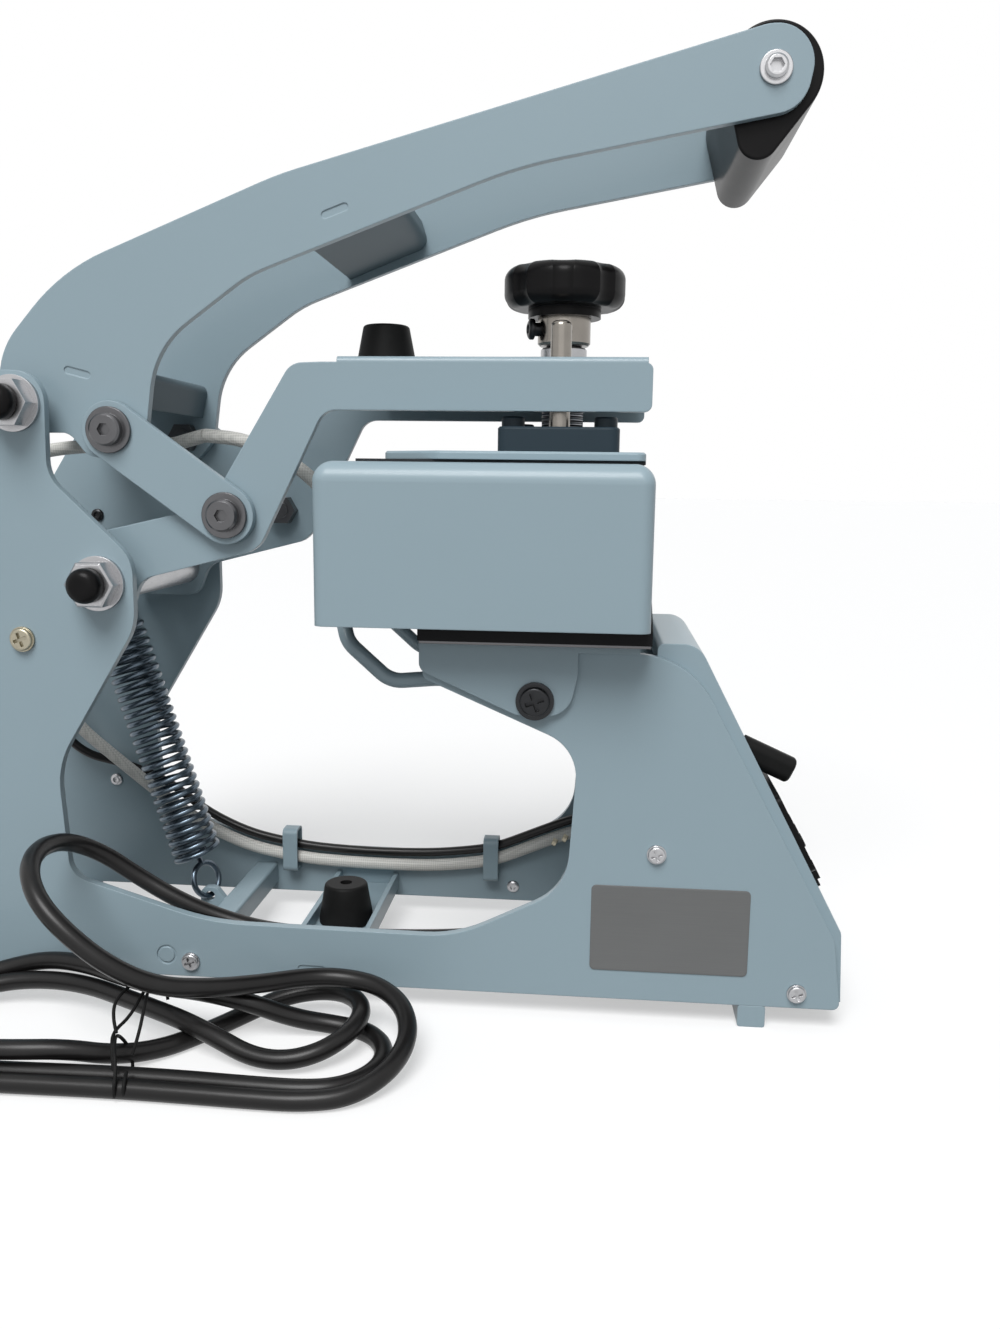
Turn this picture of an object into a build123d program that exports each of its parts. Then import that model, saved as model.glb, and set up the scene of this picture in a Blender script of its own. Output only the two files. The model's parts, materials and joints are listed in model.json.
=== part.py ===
from build123d import *
import math
import os

# Cap heat press: two C-shaped side plates carry a swinging arm with the heated
# head, a toggle handle that closes it, and a curved lower platen on the tower.
# +Z is up and the operator stands at -Y. The profile of every plate is drawn in
# (u, z): u runs from the arm pivot towards the operator, z from the bench.

os.makedirs("parts", exist_ok=True)

# ---------------------------------------------------------------- driving sizes
# overall profile, (u, z)
FRONT_U = 329.0            # toe of the front cover
REAR_U = -86.0             # heel of the side plates
MID_U = (FRONT_U + REAR_U) / 2
FOOT_H = 10.0              # height of the two foot rails
FOOT_W = 12.0
FOOT_FRONT_U = 290.0
FOOT_REAR_U = -66.0

# plates across the machine (x)
PLATE_T = 4.0              # side plates, arm plates, handle plates and links
BASE_OUT = 57.5            # outer face of the base side plates
BASE_IN = BASE_OUT - PLATE_T
ARM_OUT = 45.0             # outer face of the arm and handle plates
ARM_IN = ARM_OUT - PLATE_T
LINK_IN = ARM_OUT + 1.0    # a thin washer parts each link from its plate
LINK_OUT = LINK_IN + PLATE_T
RUN = 0.05                 # radial running clearance on every pin
GAP = 0.3                  # clearance between parts that move past each other
SEAT = 0.1                 # gap between parts that are bolted together

# linkage pivots (u, z)
ARM_PIVOT = (0.0, 191.0)
HANDLE_PIVOT = (-34.0, 267.5)
LINK_TOP = (4.5, 257.0)
LINK_LOW = (55.0, 221.0)
SHAFT_R = 6.0
TUBE_R = 9.0
SHOULDER_R = 4.0
LINK_PLAY = 4.9            # the lower link hole is this much larger all round
LINK_W = 25.0

# platens, curved about an axis along the machine
CURVE_Z = 78.0             # height of the common centre of curvature
PAD_R = 120.0
PAD_T = 5.0
PLATEN_T = 1.5
PLATEN_U = (143.0, 240.0)
PLATEN_GAP = 2.0           # air between pad and heating platen at rest
HEATER_T = 9.0
HEATER_U = (129.0, 237.0)

# head
HEAD_U = (102.0, 239.0)
HEAD_HALF = 85.0
HEATER_HALF = HEAD_HALF - 15.5
PLATEN_HALF = HEATER_HALF - 2.5
HEAD_Z = (178.0, 244.5)
HEAD_WALL = 1.5
HEAD_TOP_R = 8.0
HEAD_CORNER_R = 5.0
HEAD_ARCH_GAP = 1.5        # the cover's curved opening stands this far outside the platen
GASKET_T = 1.5
TOP_PLATE_T = 3.5
TOP_PLATE_U = (123.0, 236.0)
TOP_PLATE_HALF = 55.0
FLANGE_T = 10.5
FLANGE_U_HALF = 26.0
FLANGE_X_HALF = 45.0
SPINDLE_U = 199.0
SPINDLE_R = 8.0
ROD_R = 4.5
ROD_X = 33.0
ROD_TOP_Z = 305.0
HEAD_TRAVEL = 5.0          # how far the pressure screw can lift the head

# arm
ARM_BOTTOM_Z = 266.5
ARM_TOP_Z = 289.0
ARM_END_U = 238.0
WEB_T = 3.0
WEB_U = (104.0, 236.0)
ARM_BEND_R = 2.5

# knob
KNOB_R = 27.5
KNOB_Z = (314.0, 332.0)
KNOB_LOBES = 8
KNOB_ROUND = 6.0
HUB_R = 12.0
HUB_Z = (298.0, 316.0)
NUT_R = 10.5
NUT_TOP_Z = 297.0

# handle
GRIP_C = (282.0, 399.5)
GRIP_R = 19.5
GRIP_LOW = (277.0, 375.0)
GRIP_LOW_R = 8.5
GRIP_ROD_R = 4.0
END_R = 16.3

# tower, saddle and hoop
SADDLE_T = 3.0
SADDLE_U = (142.0, 236.0)
SADDLE_TOP_Z = 169.0
SADDLE_SCREW = (192.0, 145.0)
HOOP_PIVOT = (205.0, 150.0)
HOOP_R = 3.4
HOOP_X = 46.0
HOOP_SHAFT_R = 4.0
HOOP_TUBE_R = 6.5
LEVER_ANGLE = 24.0         # the lever points this far below the horizontal
LEVER_LEN = 90.0
GRIP_LEN = 27.0
LEVER_GRIP_R = 6.3
COVER_T = 1.5
COVER_HALF = BASE_IN - SEAT

# spring
SPRING_TOP = (-24.0, 184.0)
SPRING_LOW = (25.0, 27.0)
SPRING_R = 10.75           # mean coil radius
WIRE_R = 1.3
SPRING_TURNS = 27
COIL_LEN = 122.0
HOOK_BAR_R = 4.0

# cables and cord
HEATER_CABLE_R = 3.2
SENSOR_CABLE_R = 2.3
CORD_R = 4.0

# small fasteners
SCREW_R = 2.0
PAN_R = 4.2
PAN_H = 2.4


def side(x):
    """Sketch plane at x: sketch x is u, sketch y is z, normal towards -X."""
    return Plane(origin=(x, MID_U, 0), x_dir=(0, -1, 0), z_dir=(-1, 0, 0))


def level(z):
    """Horizontal sketch plane at height z: sketch x is u, sketch y is X."""
    return Plane(origin=(0, MID_U, z), x_dir=(0, -1, 0), z_dir=(0, 0, 1))


def cross(u):
    """Sketch plane across the machine at u, normal towards the operator."""
    return Plane(origin=(0, MID_U - u, 0), x_dir=(1, 0, 0), z_dir=(0, -1, 0))


def space(x, u, z):
    """A point of the row frame from x, u and z."""
    return (x, MID_U - u, z)


def outline(corners):
    """Closed face through (u, z, corner radius) points."""
    with BuildSketch() as face:
        with BuildLine():
            FilletPolyline(
                *[(u, z) for u, z, r in corners], radius=[r for u, z, r in corners], close=True
            )
        make_face()
    return face.sketch


def strip(corners, thickness):
    """Face of a bent sheet: an open run of (u, z, radius) points, thickened."""
    radii = [r for u, z, r in corners[1:-1]]
    with BuildSketch() as face:
        with BuildLine() as run:
            FilletPolyline(*[(u, z) for u, z, r in corners], radius=radii)
            offset(run.line, amount=thickness, side=Side.RIGHT)
        make_face()
    return face.sketch


def finish(part, name):
    """Label a finished piece and write it."""
    part.label = name
    export_step(part, f"parts/{name}.step")


# ------------------------------------------------------------ base side plates
LOBE_R = 14.0
BRIDGE_Z = 35.5
BULGE_U = 15.5
TOWER_REAR_U = 211.0
TOWER_TOP_Z = SADDLE_TOP_Z - SADDLE_T - SEAT
PLATE_BOTTOM = FOOT_H
lobe_u, lobe_z = HANDLE_PIVOT
base_corners = [
    (REAR_U, PLATE_BOTTOM, 8),
    (REAR_U, 219, 30),
    (lobe_u - LOBE_R + 2.4, lobe_z + LOBE_R, LOBE_R),
    (lobe_u + LOBE_R, lobe_z + LOBE_R, LOBE_R - 0.6),
    (lobe_u + LOBE_R - 1, 237, 16),
    (BULGE_U, 202, 17),
    (BULGE_U, 172, 26),
    (-23.5, 108, 40),
    (-20, 56, 11),
    (45, BRIDGE_Z + 1, 120),
    (158, BRIDGE_Z, 60),
    (207, 60, 26),
    (TOWER_REAR_U, 124, 20),
    (143, 153, 4),
    (143, TOWER_TOP_Z, 3),
    (256.5, TOWER_TOP_Z, 38),
    (324, 42, 14),
    (FRONT_U - 1, PLATE_BOTTOM, 3),
]
RING_C = (24.0, 20.0)
CROSSBAR_U = 95.0
TAB_MARK_D = 0.4           # depth of the marks that tabs and rings leave in a plate's face
with BuildPart() as left_plate:
    with BuildSketch(side(-BASE_IN)):
        add(outline(base_corners))
        with Locations(ARM_PIVOT, HANDLE_PIVOT):
            Circle(SHAFT_R + RUN, mode=Mode.SUBTRACT)
    extrude(amount=PLATE_T)
    with BuildSketch(side(-BASE_OUT + TAB_MARK_D)):
        with Locations(RING_C):
            Circle(4.6)
            Circle(3.6, mode=Mode.SUBTRACT)
        with Locations((CROSSBAR_U - 3, 16.5)):
            SlotOverall(12.6, 3.2)
    extrude(amount=TAB_MARK_D, mode=Mode.SUBTRACT)
with BuildPart() as right_plate:
    add(mirror(left_plate.part, about=Plane.YZ))
finish(left_plate.part, "left_base_plate")
finish(right_plate.part, "right_base_plate")

# ---------------------------------------------------------- feet and cross ties
with BuildPart() as foot_rails:
    for rail_u in (FOOT_FRONT_U, FOOT_REAR_U):
        with BuildSketch(side(BASE_OUT)):
            with Locations((rail_u, FOOT_H / 2)):
                RectangleRounded(FOOT_W, FOOT_H, 1.2)
        extrude(amount=2 * BASE_OUT)
finish(foot_rails.part, "foot_rails")

TIE_R = 5.0
TIE_POINTS = [(-36.0, 165.5)]
with BuildPart() as tie_bars:
    with BuildSketch(side(BASE_IN - SEAT)):
        with Locations(*TIE_POINTS):
            Circle(TIE_R)
        with Locations(HOOP_PIVOT):
            Circle(HOOP_SHAFT_R)
    extrude(amount=2 * (BASE_IN - SEAT))
finish(tie_bars.part, "plate_tie_rods")

ANCHOR_U = 38.0
ANCHOR_Z = 20.0
BUMPER_BASE_Z = 14.0
CHANNEL_W = 34.0             # folded channel under the lower stop
CHANNEL_H = 9.0
CHANNEL_T = 2.5
with BuildPart() as lower_bars:
    with BuildSketch(side(BASE_IN - SEAT)):
        with Locations((ANCHOR_U, ANCHOR_Z)):
            RectangleRounded(12, 12, 1.5)
    extrude(amount=2 * (BASE_IN - SEAT))
    with BuildSketch(side(2.0)):
        add(outline([(20, 22, 4), (33, 17, 1), (33, 25, 1), (28, 31.5, 4), (20, 31.5, 4)]))
        with Locations((SPRING_LOW[0], SPRING_LOW[1])):
            Circle(2.4, mode=Mode.SUBTRACT)
    extrude(amount=4)
    with BuildSketch(side(BASE_IN - SEAT)):
        with Locations((CROSSBAR_U, BUMPER_BASE_Z + CHANNEL_H / 2)):
            Rectangle(CHANNEL_W, CHANNEL_H)
        with Locations((CROSSBAR_U, BUMPER_BASE_Z + CHANNEL_T + CHANNEL_H / 2)):
            Rectangle(CHANNEL_W - 2 * CHANNEL_T, CHANNEL_H, mode=Mode.SUBTRACT)
    extrude(amount=2 * (BASE_IN - SEAT))
finish(lower_bars.part, "lower_crossbars")


def cone_bumper(base_z, centre_u, base_r, top_r, height, hole_r):
    """A moulded rubber stop: cone, flanged foot and a screw well in its top."""
    with BuildPart() as bumper:
        with BuildSketch(Plane(origin=space(0, centre_u, 0), x_dir=(1, 0, 0), z_dir=(0, -1, 0))):
            with BuildLine():
                FilletPolyline(
                    (0, base_z), (base_r, base_z), (base_r, base_z + 2.5),
                    (top_r, base_z + height), (0, base_z + height),
                    radius=[0.6, 0.8, 1.6],
                )
                Line((0, base_z + height), (0, base_z))
            make_face()
        revolve(axis=Axis(space(0, centre_u, 0), (0, 0, 1)))
        with Locations(Plane(origin=space(0, centre_u, base_z + height))):
            Hole(hole_r, depth=height * 0.6)
    return bumper.part


crossbar_top = BUMPER_BASE_Z + CHANNEL_T
base_bumper = cone_bumper(crossbar_top + SEAT, CROSSBAR_U, 13.5, 10.5, 20, 3.0)
finish(base_bumper, "base_bumper")

# -------------------------------------------------------------- pivot hardware
CAP_R = 7.6
CAP_RIM = 2.5
CAP_CROWN = 4.5
NUT_FLATS = 19.0
NUT_T = 8.5
WASHER_R = 12.0
WASHER_T = 2.0
THREAD_OUT = BASE_OUT + WASHER_T + NUT_T + 1.0


with BuildPart() as shafts:
    with BuildSketch(side(THREAD_OUT)):
        with Locations(ARM_PIVOT, HANDLE_PIVOT):
            Circle(SHAFT_R)
    extrude(amount=2 * THREAD_OUT)
    chamfer(shafts.edges().filter_by(GeomType.CIRCLE), 0.8)
finish(shafts.part, "pivot_shafts")

with BuildPart() as nuts:
    with BuildSketch(side(-BASE_OUT - WASHER_T - SEAT)):
        with Locations(ARM_PIVOT, HANDLE_PIVOT):
            RegularPolygon(NUT_FLATS / 2, 6, major_radius=False)
            Circle(SHAFT_R + RUN, mode=Mode.SUBTRACT)
    extrude(amount=NUT_T)
    chamfer(nuts.faces().sort_by(Axis.X)[0].outer_wire().edges(), 0.8)
    with BuildSketch(side(-BASE_OUT - SEAT / 2)):
        with Locations(ARM_PIVOT, HANDLE_PIVOT):
            Circle(WASHER_R)
            Circle(SHAFT_R + RUN, mode=Mode.SUBTRACT)
    extrude(amount=WASHER_T)
    with BuildSketch(side(-ARM_OUT - GAP)):
        with Locations(ARM_PIVOT, HANDLE_PIVOT):
            Circle(TUBE_R)
            Circle(SHAFT_R + RUN, mode=Mode.SUBTRACT)
    extrude(amount=BASE_IN - ARM_OUT - GAP - SEAT)
    mirror(about=Plane.YZ)
finish(nuts.part, "pivot_nuts_washers")


with BuildPart() as caps:
    with BuildSketch(side(-THREAD_OUT - SEAT)):
        with Locations(ARM_PIVOT, HANDLE_PIVOT):
            Circle(CAP_R)
    extrude(amount=CAP_RIM + CAP_CROWN)
    fillet(caps.edges().group_by(Axis.X)[0], CAP_CROWN)
    mirror(about=Plane.YZ)
finish(caps.part, "pivot_caps")

# ------------------------------------------------------------------------- arm
TAIL_R = 8.0
BUMPER_U = 117.0
arm_corners = [
    (-30, 176, TAIL_R),
    (-30, 198, TAIL_R),
    (-14, 210.5, 12),
    (46, 224.5, 8),
    (84, 286, 9),
    (97, ARM_TOP_Z - ARM_BEND_R, 6),
    (ARM_END_U, ARM_TOP_Z - ARM_BEND_R, 3),
    (ARM_END_U, ARM_BOTTOM_Z, 3),
    (98, ARM_BOTTOM_Z, 9),
    (68, 206, 13),
    (14, 192, 10),
    (8, 176, 8),
]
with BuildPart() as arm_frame:
    with BuildSketch(side(-ARM_IN)):
        add(outline(arm_corners))
        with Locations(ARM_PIVOT):
            Circle(SHAFT_R + RUN, mode=Mode.SUBTRACT)
        with Locations(LINK_LOW):
            Circle(SHOULDER_R + RUN, mode=Mode.SUBTRACT)
    extrude(amount=PLATE_T)
    mirror(about=Plane.YZ)
    with BuildSketch(level(ARM_TOP_Z - WEB_T)):
        with Locations(((WEB_U[0] + WEB_U[1]) / 2, 0)):
            Rectangle(WEB_U[1] - WEB_U[0], 2 * ARM_OUT)
    extrude(amount=WEB_T)
    edge_band = arm_frame.edges().filter_by(Axis.Y)
    top_edges = edge_band.group_by(Axis.Z)[-1]
    fillet(top_edges, ARM_BEND_R)
    with BuildSketch(level(ARM_TOP_Z - WEB_T)):
        with Locations((SPINDLE_U, 0)):
            Circle(NUT_R - 1.5)
        with Locations((SPINDLE_U, ROD_X), (SPINDLE_U, -ROD_X)):
            Circle(ROD_R + 1.5)
        with Locations((BUMPER_U, 0)):
            Circle(SCREW_R + 0.5)
    extrude(amount=WEB_T, mode=Mode.SUBTRACT)
finish(arm_frame.part, "arm_frame")

with BuildPart() as arm_bars:
    with BuildSketch(side(ARM_IN - SEAT)):
        with Locations(ARM_PIVOT):
            Circle(TUBE_R)
            Circle(SHAFT_R + RUN, mode=Mode.SUBTRACT)
        with Locations(SPRING_TOP):
            Circle(HOOK_BAR_R)
    extrude(amount=2 * (ARM_IN - SEAT))
    with BuildSketch(side(2.2)):
        with Locations(SPRING_TOP):
            Circle(HOOK_BAR_R)
            Circle(HOOK_BAR_R - 1.6, mode=Mode.SUBTRACT)
    extrude(amount=4.4, mode=Mode.SUBTRACT)
finish(arm_bars.part, "arm_cross_bars")

arm_bumper = cone_bumper(ARM_TOP_Z + SEAT, BUMPER_U, 13.5, 10.5, 18, 3.0)
finish(arm_bumper, "arm_bumper")

with BuildPart() as spindle_nut:
    with BuildSketch(level(ARM_TOP_Z + SEAT / 2)):
        with Locations((SPINDLE_U, 0)):
            Circle(NUT_R)
    extrude(amount=NUT_TOP_Z - ARM_TOP_Z)
    chamfer(spindle_nut.edges().group_by(Axis.Z)[-1], 0.8)
    with BuildSketch(level(ARM_BOTTOM_Z + 10)):
        with Locations((SPINDLE_U, 0)):
            Circle(NUT_R - 1.5 - RUN)
    extrude(amount=ARM_TOP_Z - ARM_BOTTOM_Z - 10 + SEAT)
    with Locations(Plane(origin=space(0, SPINDLE_U, NUT_TOP_Z + 2))):
        Hole(SPINDLE_R + RUN, depth=60)
    with BuildSketch(level(ARM_TOP_Z - WEB_T - 4)):
        with Locations((SPINDLE_U, ROD_X), (SPINDLE_U, -ROD_X)):
            Circle(ROD_R + 1.5 - RUN)
            Circle(ROD_R + RUN, mode=Mode.SUBTRACT)
    extrude(amount=WEB_T + 4)
    with BuildSketch(level(ARM_TOP_Z - WEB_T - 4)):
        with Locations((SPINDLE_U, ROD_X), (SPINDLE_U, -ROD_X)):
            Circle(ROD_R + 2.8)
            Circle(ROD_R + RUN, mode=Mode.SUBTRACT)
    extrude(amount=4 - SEAT)
finish(spindle_nut.part, "screw_nut_and_bushes")

# ------------------------------------------------------------------------ head
gasket_z = HEAD_Z[1] + SEAT
top_plate_z = gasket_z + GASKET_T
flange_z = top_plate_z + TOP_PLATE_T + SEAT
head_mid_u = (HEAD_U[0] + HEAD_U[1]) / 2
head_len = HEAD_U[1] - HEAD_U[0]
heater_r = PAD_R + PLATEN_GAP

with BuildPart() as head_cover:
    with BuildSketch(level(HEAD_Z[0])):
        with Locations((head_mid_u, 0)):
            RectangleRounded(head_len, 2 * HEAD_HALF, HEAD_CORNER_R)
    extrude(amount=HEAD_Z[1] - HEAD_Z[0])
    fillet(head_cover.edges().group_by(Axis.Z)[-1], HEAD_TOP_R)
    bottom = head_cover.faces().sort_by(Axis.Z)[0]
    offset(amount=-HEAD_WALL, openings=bottom)
    with BuildSketch(cross(HEAD_U[0] - 5)):
        with Locations((0, CURVE_Z)):
            Circle(heater_r + HEAD_ARCH_GAP)
    extrude(amount=head_len + 10, mode=Mode.SUBTRACT)
    with BuildSketch(cross(HEAD_U[0] - 2)):
        with Locations((-20, 220.5)):
            SlotOverall(17, 10, rotation=90)
    extrude(amount=6, mode=Mode.SUBTRACT)
finish(head_cover.part, "head_cover")

inner_z = HEAD_Z[1] - HEAD_WALL - SEAT


def arch(r_in, r_out, half, u_range):
    """Curved plate about the common axis, cut off at x = +-half."""
    with BuildPart() as curved:
        with BuildSketch(cross(u_range[0])):
            with Locations((0, CURVE_Z)):
                Circle(r_out)
                Circle(r_in, mode=Mode.SUBTRACT)
            with Locations((0, CURVE_Z + r_out)):
                Rectangle(2 * half, 2 * r_out, mode=Mode.INTERSECT)
        extrude(amount=u_range[1] - u_range[0])
    return curved.part


heater = arch(heater_r, heater_r + HEATER_T, HEATER_HALF, HEATER_U)
finish(heater, "heating_platen")

with BuildPart() as insulation:
    with BuildSketch(cross(HEATER_U[0])):
        with BuildLine():
            ins_r = heater_r + HEATER_T + SEAT
            ins_x = HEATER_HALF
            ins_low = CURVE_Z + math.sqrt(ins_r**2 - ins_x**2)
            ThreePointArc((-ins_x, ins_low), (0, CURVE_Z + ins_r), (ins_x, ins_low))
            Polyline((ins_x, ins_low), (ins_x, inner_z), (-ins_x, inner_z), (-ins_x, ins_low))
        make_face()
    extrude(amount=HEATER_U[1] - HEATER_U[0] - 6)
finish(insulation.part, "insulation_block")

with BuildPart() as gasket:
    with BuildSketch(level(gasket_z)):
        with Locations(((TOP_PLATE_U[0] + TOP_PLATE_U[1]) / 2 - 5, 0)):
            RectangleRounded(TOP_PLATE_U[1] - TOP_PLATE_U[0] + 10, 2 * TOP_PLATE_HALF - 4, 3)
    extrude(amount=GASKET_T - SEAT)
finish(gasket.part, "head_gasket")

with BuildPart() as top_plate:
    with BuildSketch(level(top_plate_z)):
        with BuildLine():
            u0, u1 = TOP_PLATE_U
            w0 = TOP_PLATE_HALF
            FilletPolyline(
                (u0, -w0 + 18), (u0 + 26, -w0), (u1, -w0), (u1, w0), (u0 + 26, w0), (u0, w0 - 18),
                radius=[4, 4, 4, 4, 4, 4], close=True,
            )
        make_face()
    extrude(amount=TOP_PLATE_T)
    chamfer(top_plate.edges().group_by(Axis.Z)[-1], 0.8)
finish(top_plate.part, "head_top_plate")

FLANGE_SCREWS = [
    (SPINDLE_U + du * (FLANGE_U_HALF - 6), dx * (FLANGE_X_HALF - 11))
    for du in (-1, 1) for dx in (-1, 1)
]
with BuildPart() as flange:
    with BuildSketch(level(flange_z)):
        with Locations((SPINDLE_U, 0)):
            RectangleRounded(2 * FLANGE_U_HALF, 2 * FLANGE_X_HALF, 4)
    extrude(amount=FLANGE_T)
    chamfer(flange.edges().group_by(Axis.Z)[-1], 0.8)
    with BuildSketch(level(flange_z + 3)):
        with Locations((SPINDLE_U, 0)):
            Circle(SPINDLE_R + RUN)
        with Locations((SPINDLE_U, ROD_X), (SPINDLE_U, -ROD_X)):
            Circle(ROD_R + RUN)
    extrude(amount=FLANGE_T, mode=Mode.SUBTRACT)
finish(flange.part, "spindle_flange")

flange_top = flange_z + FLANGE_T
with BuildPart() as rods:
    with BuildSketch(level(flange_z + 3 + SEAT)):
        with Locations((SPINDLE_U, ROD_X), (SPINDLE_U, -ROD_X)):
            Circle(ROD_R)
    extrude(amount=ROD_TOP_Z - flange_z - 3 - SEAT)
    fillet(rods.edges().group_by(Axis.Z)[-1], 2.5)
finish(rods.part, "guide_rods")

with BuildPart() as flange_screws:
    with BuildSketch(level(flange_top + SEAT / 2)):
        with Locations(*FLANGE_SCREWS):
            Circle(5.0)
    extrude(amount=4.5)
    fillet(flange_screws.edges().group_by(Axis.Z)[-1], 1.0)
    with BuildSketch(level(flange_top + 2.2)):
        with Locations(*FLANGE_SCREWS):
            RegularPolygon(2.0, 6, major_radius=False)
    extrude(amount=4, mode=Mode.SUBTRACT)
finish(flange_screws.part, "flange_screws")

# ------------------------------------------------------- pressure screw and knob
with BuildPart() as spindle:
    with BuildSketch(level(flange_z + 3 + SEAT)):
        with Locations((SPINDLE_U, 0)):
            Circle(SPINDLE_R)
    extrude(amount=HUB_Z[1] - 4 - flange_z - 3 - SEAT)
    with BuildSketch(level(flange_top + GAP)):
        with Locations((SPINDLE_U, 0)):
            Circle(NUT_R - 1.0)
    extrude(amount=8.5)
finish(spindle.part, "pressure_spindle")

with BuildPart() as hub:
    with BuildSketch(level(HUB_Z[0])):
        with Locations((SPINDLE_U, 0)):
            Circle(HUB_R)
    extrude(amount=HUB_Z[1] - HUB_Z[0])
    chamfer(hub.edges().group_by(Axis.Z)[0], 1.0)
    with BuildSketch(level(HUB_Z[0])):
        with Locations((SPINDLE_U, 0)):
            Circle(SPINDLE_R + RUN)
    extrude(amount=HUB_Z[1] - 4 - HUB_Z[0] + SEAT, mode=Mode.SUBTRACT)
    with BuildSketch(Plane(origin=space(-HUB_R + 0.5, SPINDLE_U, 304.5), z_dir=(-1, 0, 0))):
        Circle(4.4)
    extrude(amount=3.6)
finish(hub.part, "knob_hub")

with BuildPart() as knob:
    with BuildSketch(level(KNOB_Z[0])):
        with Locations((SPINDLE_U, 0)):
            Circle(KNOB_R)
            with PolarLocations(KNOB_R + 9.6, KNOB_LOBES):
                Circle(11, mode=Mode.SUBTRACT)
    extrude(amount=KNOB_Z[1] - KNOB_Z[0])
    fillet(knob.edges().group_by(Axis.Z)[-1], KNOB_ROUND)
    fillet(knob.edges().group_by(Axis.Z)[0], KNOB_ROUND)
    with BuildSketch(level(HUB_Z[1] + SEAT - 6)):
        with Locations((SPINDLE_U, 0)):
            Circle(16.5)
            Circle(HUB_R + 0.1, mode=Mode.SUBTRACT)
    extrude(amount=6)
    with BuildSketch(level(KNOB_Z[0] - 1)):
        with Locations((SPINDLE_U, 0)):
            Circle(HUB_R + 0.1)
    extrude(amount=HUB_Z[1] - KNOB_Z[0] + 1 + SEAT, mode=Mode.SUBTRACT)
finish(knob.part, "pressure_knob")

# ---------------------------------------------------------------------- handle
handle_corners = [
    (-46.5, 255.5, 11.5),
    (-46.5, 290, 34),
    (-16, 324, 90),
    (80, 362, 160),
    (GRIP_C[0] - 4, 415.7, 16),
    (300, 417, 15),
    (294, 384.5, 14),
    (180, 364, 200),
    (66, 322, 60),
    (24, 292, 40),
    (19, 256, 12),
    (8, 243.5, 12),
    (-8, 246, 8),
    (-16, 256, 8),
]
BRACE_TABS = [(-11.0, 281.6, -14.0), (104.0, 347.5, 20.0)]   # (u, z, angle) of the braces' tabs
with BuildPart() as left_handle:
    with BuildSketch(side(-ARM_IN)):
        add(outline(handle_corners))
        with Locations(HANDLE_PIVOT):
            Circle(SHAFT_R + RUN, mode=Mode.SUBTRACT)
        with Locations(LINK_TOP):
            Circle(SHOULDER_R + RUN, mode=Mode.SUBTRACT)
        with Locations(GRIP_C):
            Circle(GRIP_ROD_R + RUN, mode=Mode.SUBTRACT)
    extrude(amount=PLATE_T)
    with BuildSketch(side(-ARM_OUT + TAB_MARK_D)):
        for mark_u, mark_z, mark_turn in BRACE_TABS:
            with Locations(Location((mark_u, mark_z, 0), (0, 0, mark_turn))):
                SlotOverall(12.0, 3.2)
    extrude(amount=TAB_MARK_D, mode=Mode.SUBTRACT)
with BuildPart() as right_handle:
    add(mirror(left_handle.part, about=Plane.YZ))
finish(left_handle.part, "left_handle_plate")
finish(right_handle.part, "right_handle_plate")

with BuildPart() as handle_tube:
    with BuildSketch(side(ARM_IN - GAP)):
        with Locations(HANDLE_PIVOT):
            Circle(TUBE_R)
            Circle(SHAFT_R + RUN, mode=Mode.SUBTRACT)
    extrude(amount=2 * (ARM_IN - GAP))
finish(handle_tube.part, "handle_pivot_tube")

BRACE_T = 3.0
with BuildPart() as brace:
    with BuildSketch(side(ARM_IN - SEAT)):
        add(strip([(90, 337.5, 0), (127, 352, 3), (124, 361, 0)], BRACE_T))
    extrude(amount=2 * (ARM_IN - SEAT))
    with BuildSketch(side(ARM_IN - SEAT)):
        add(strip([(-20, 286, 0), (17, 283, 4), (13.5, 267, 0)], BRACE_T))
    extrude(amount=2 * (ARM_IN - SEAT))
finish(brace.part, "handle_braces")

with BuildPart() as grip:
    with BuildSketch(side(ARM_IN - SEAT)):
        with Locations(GRIP_C):
            Circle(GRIP_R)
        with Locations(GRIP_LOW):
            Circle(GRIP_LOW_R)
        make_hull()
        with Locations(GRIP_C):
            Circle(GRIP_ROD_R + RUN, mode=Mode.SUBTRACT)
    extrude(amount=2 * (ARM_IN - SEAT))
    fillet(grip.edges().group_by(Axis.X)[0].sort_by(Edge.length)[1:], 1.0)
    fillet(grip.edges().group_by(Axis.X)[-1].sort_by(Edge.length)[1:], 1.0)
finish(grip.part, "handle_grip")


def socket_bolt(centre, x_head, head_r, head_t, washer_r, washer_t):
    """Low socket head on a washer, lying on the outer face at x_head (left side)."""
    with BuildPart() as bolt:
        with BuildSketch(side(-x_head)):
            with Locations(centre):
                Circle(washer_r)
        extrude(amount=washer_t)
        chamfer(bolt.edges().group_by(Axis.X)[0], 0.3)
        with BuildSketch(side(-x_head - washer_t)):
            with Locations(centre):
                Circle(head_r)
        extrude(amount=head_t)
        chamfer(bolt.edges().group_by(Axis.X)[0], 0.9)
        with BuildSketch(side(-x_head - washer_t - head_t + 2.2)):
            with Locations(centre):
                RegularPolygon(2.5, 6, major_radius=False)
        extrude(amount=4, mode=Mode.SUBTRACT)
    return bolt.part


with BuildPart() as grip_screws:
    add(socket_bolt(GRIP_C, ARM_OUT + SEAT, 4.6, 2.4, 6.5, 1.2))
    mirror(about=Plane.YZ)
    with BuildSketch(side(ARM_OUT + SEAT)):
        with Locations(GRIP_C):
            Circle(GRIP_ROD_R)
    extrude(amount=2 * (ARM_OUT + SEAT))
finish(grip_screws.part, "grip_rod")

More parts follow.
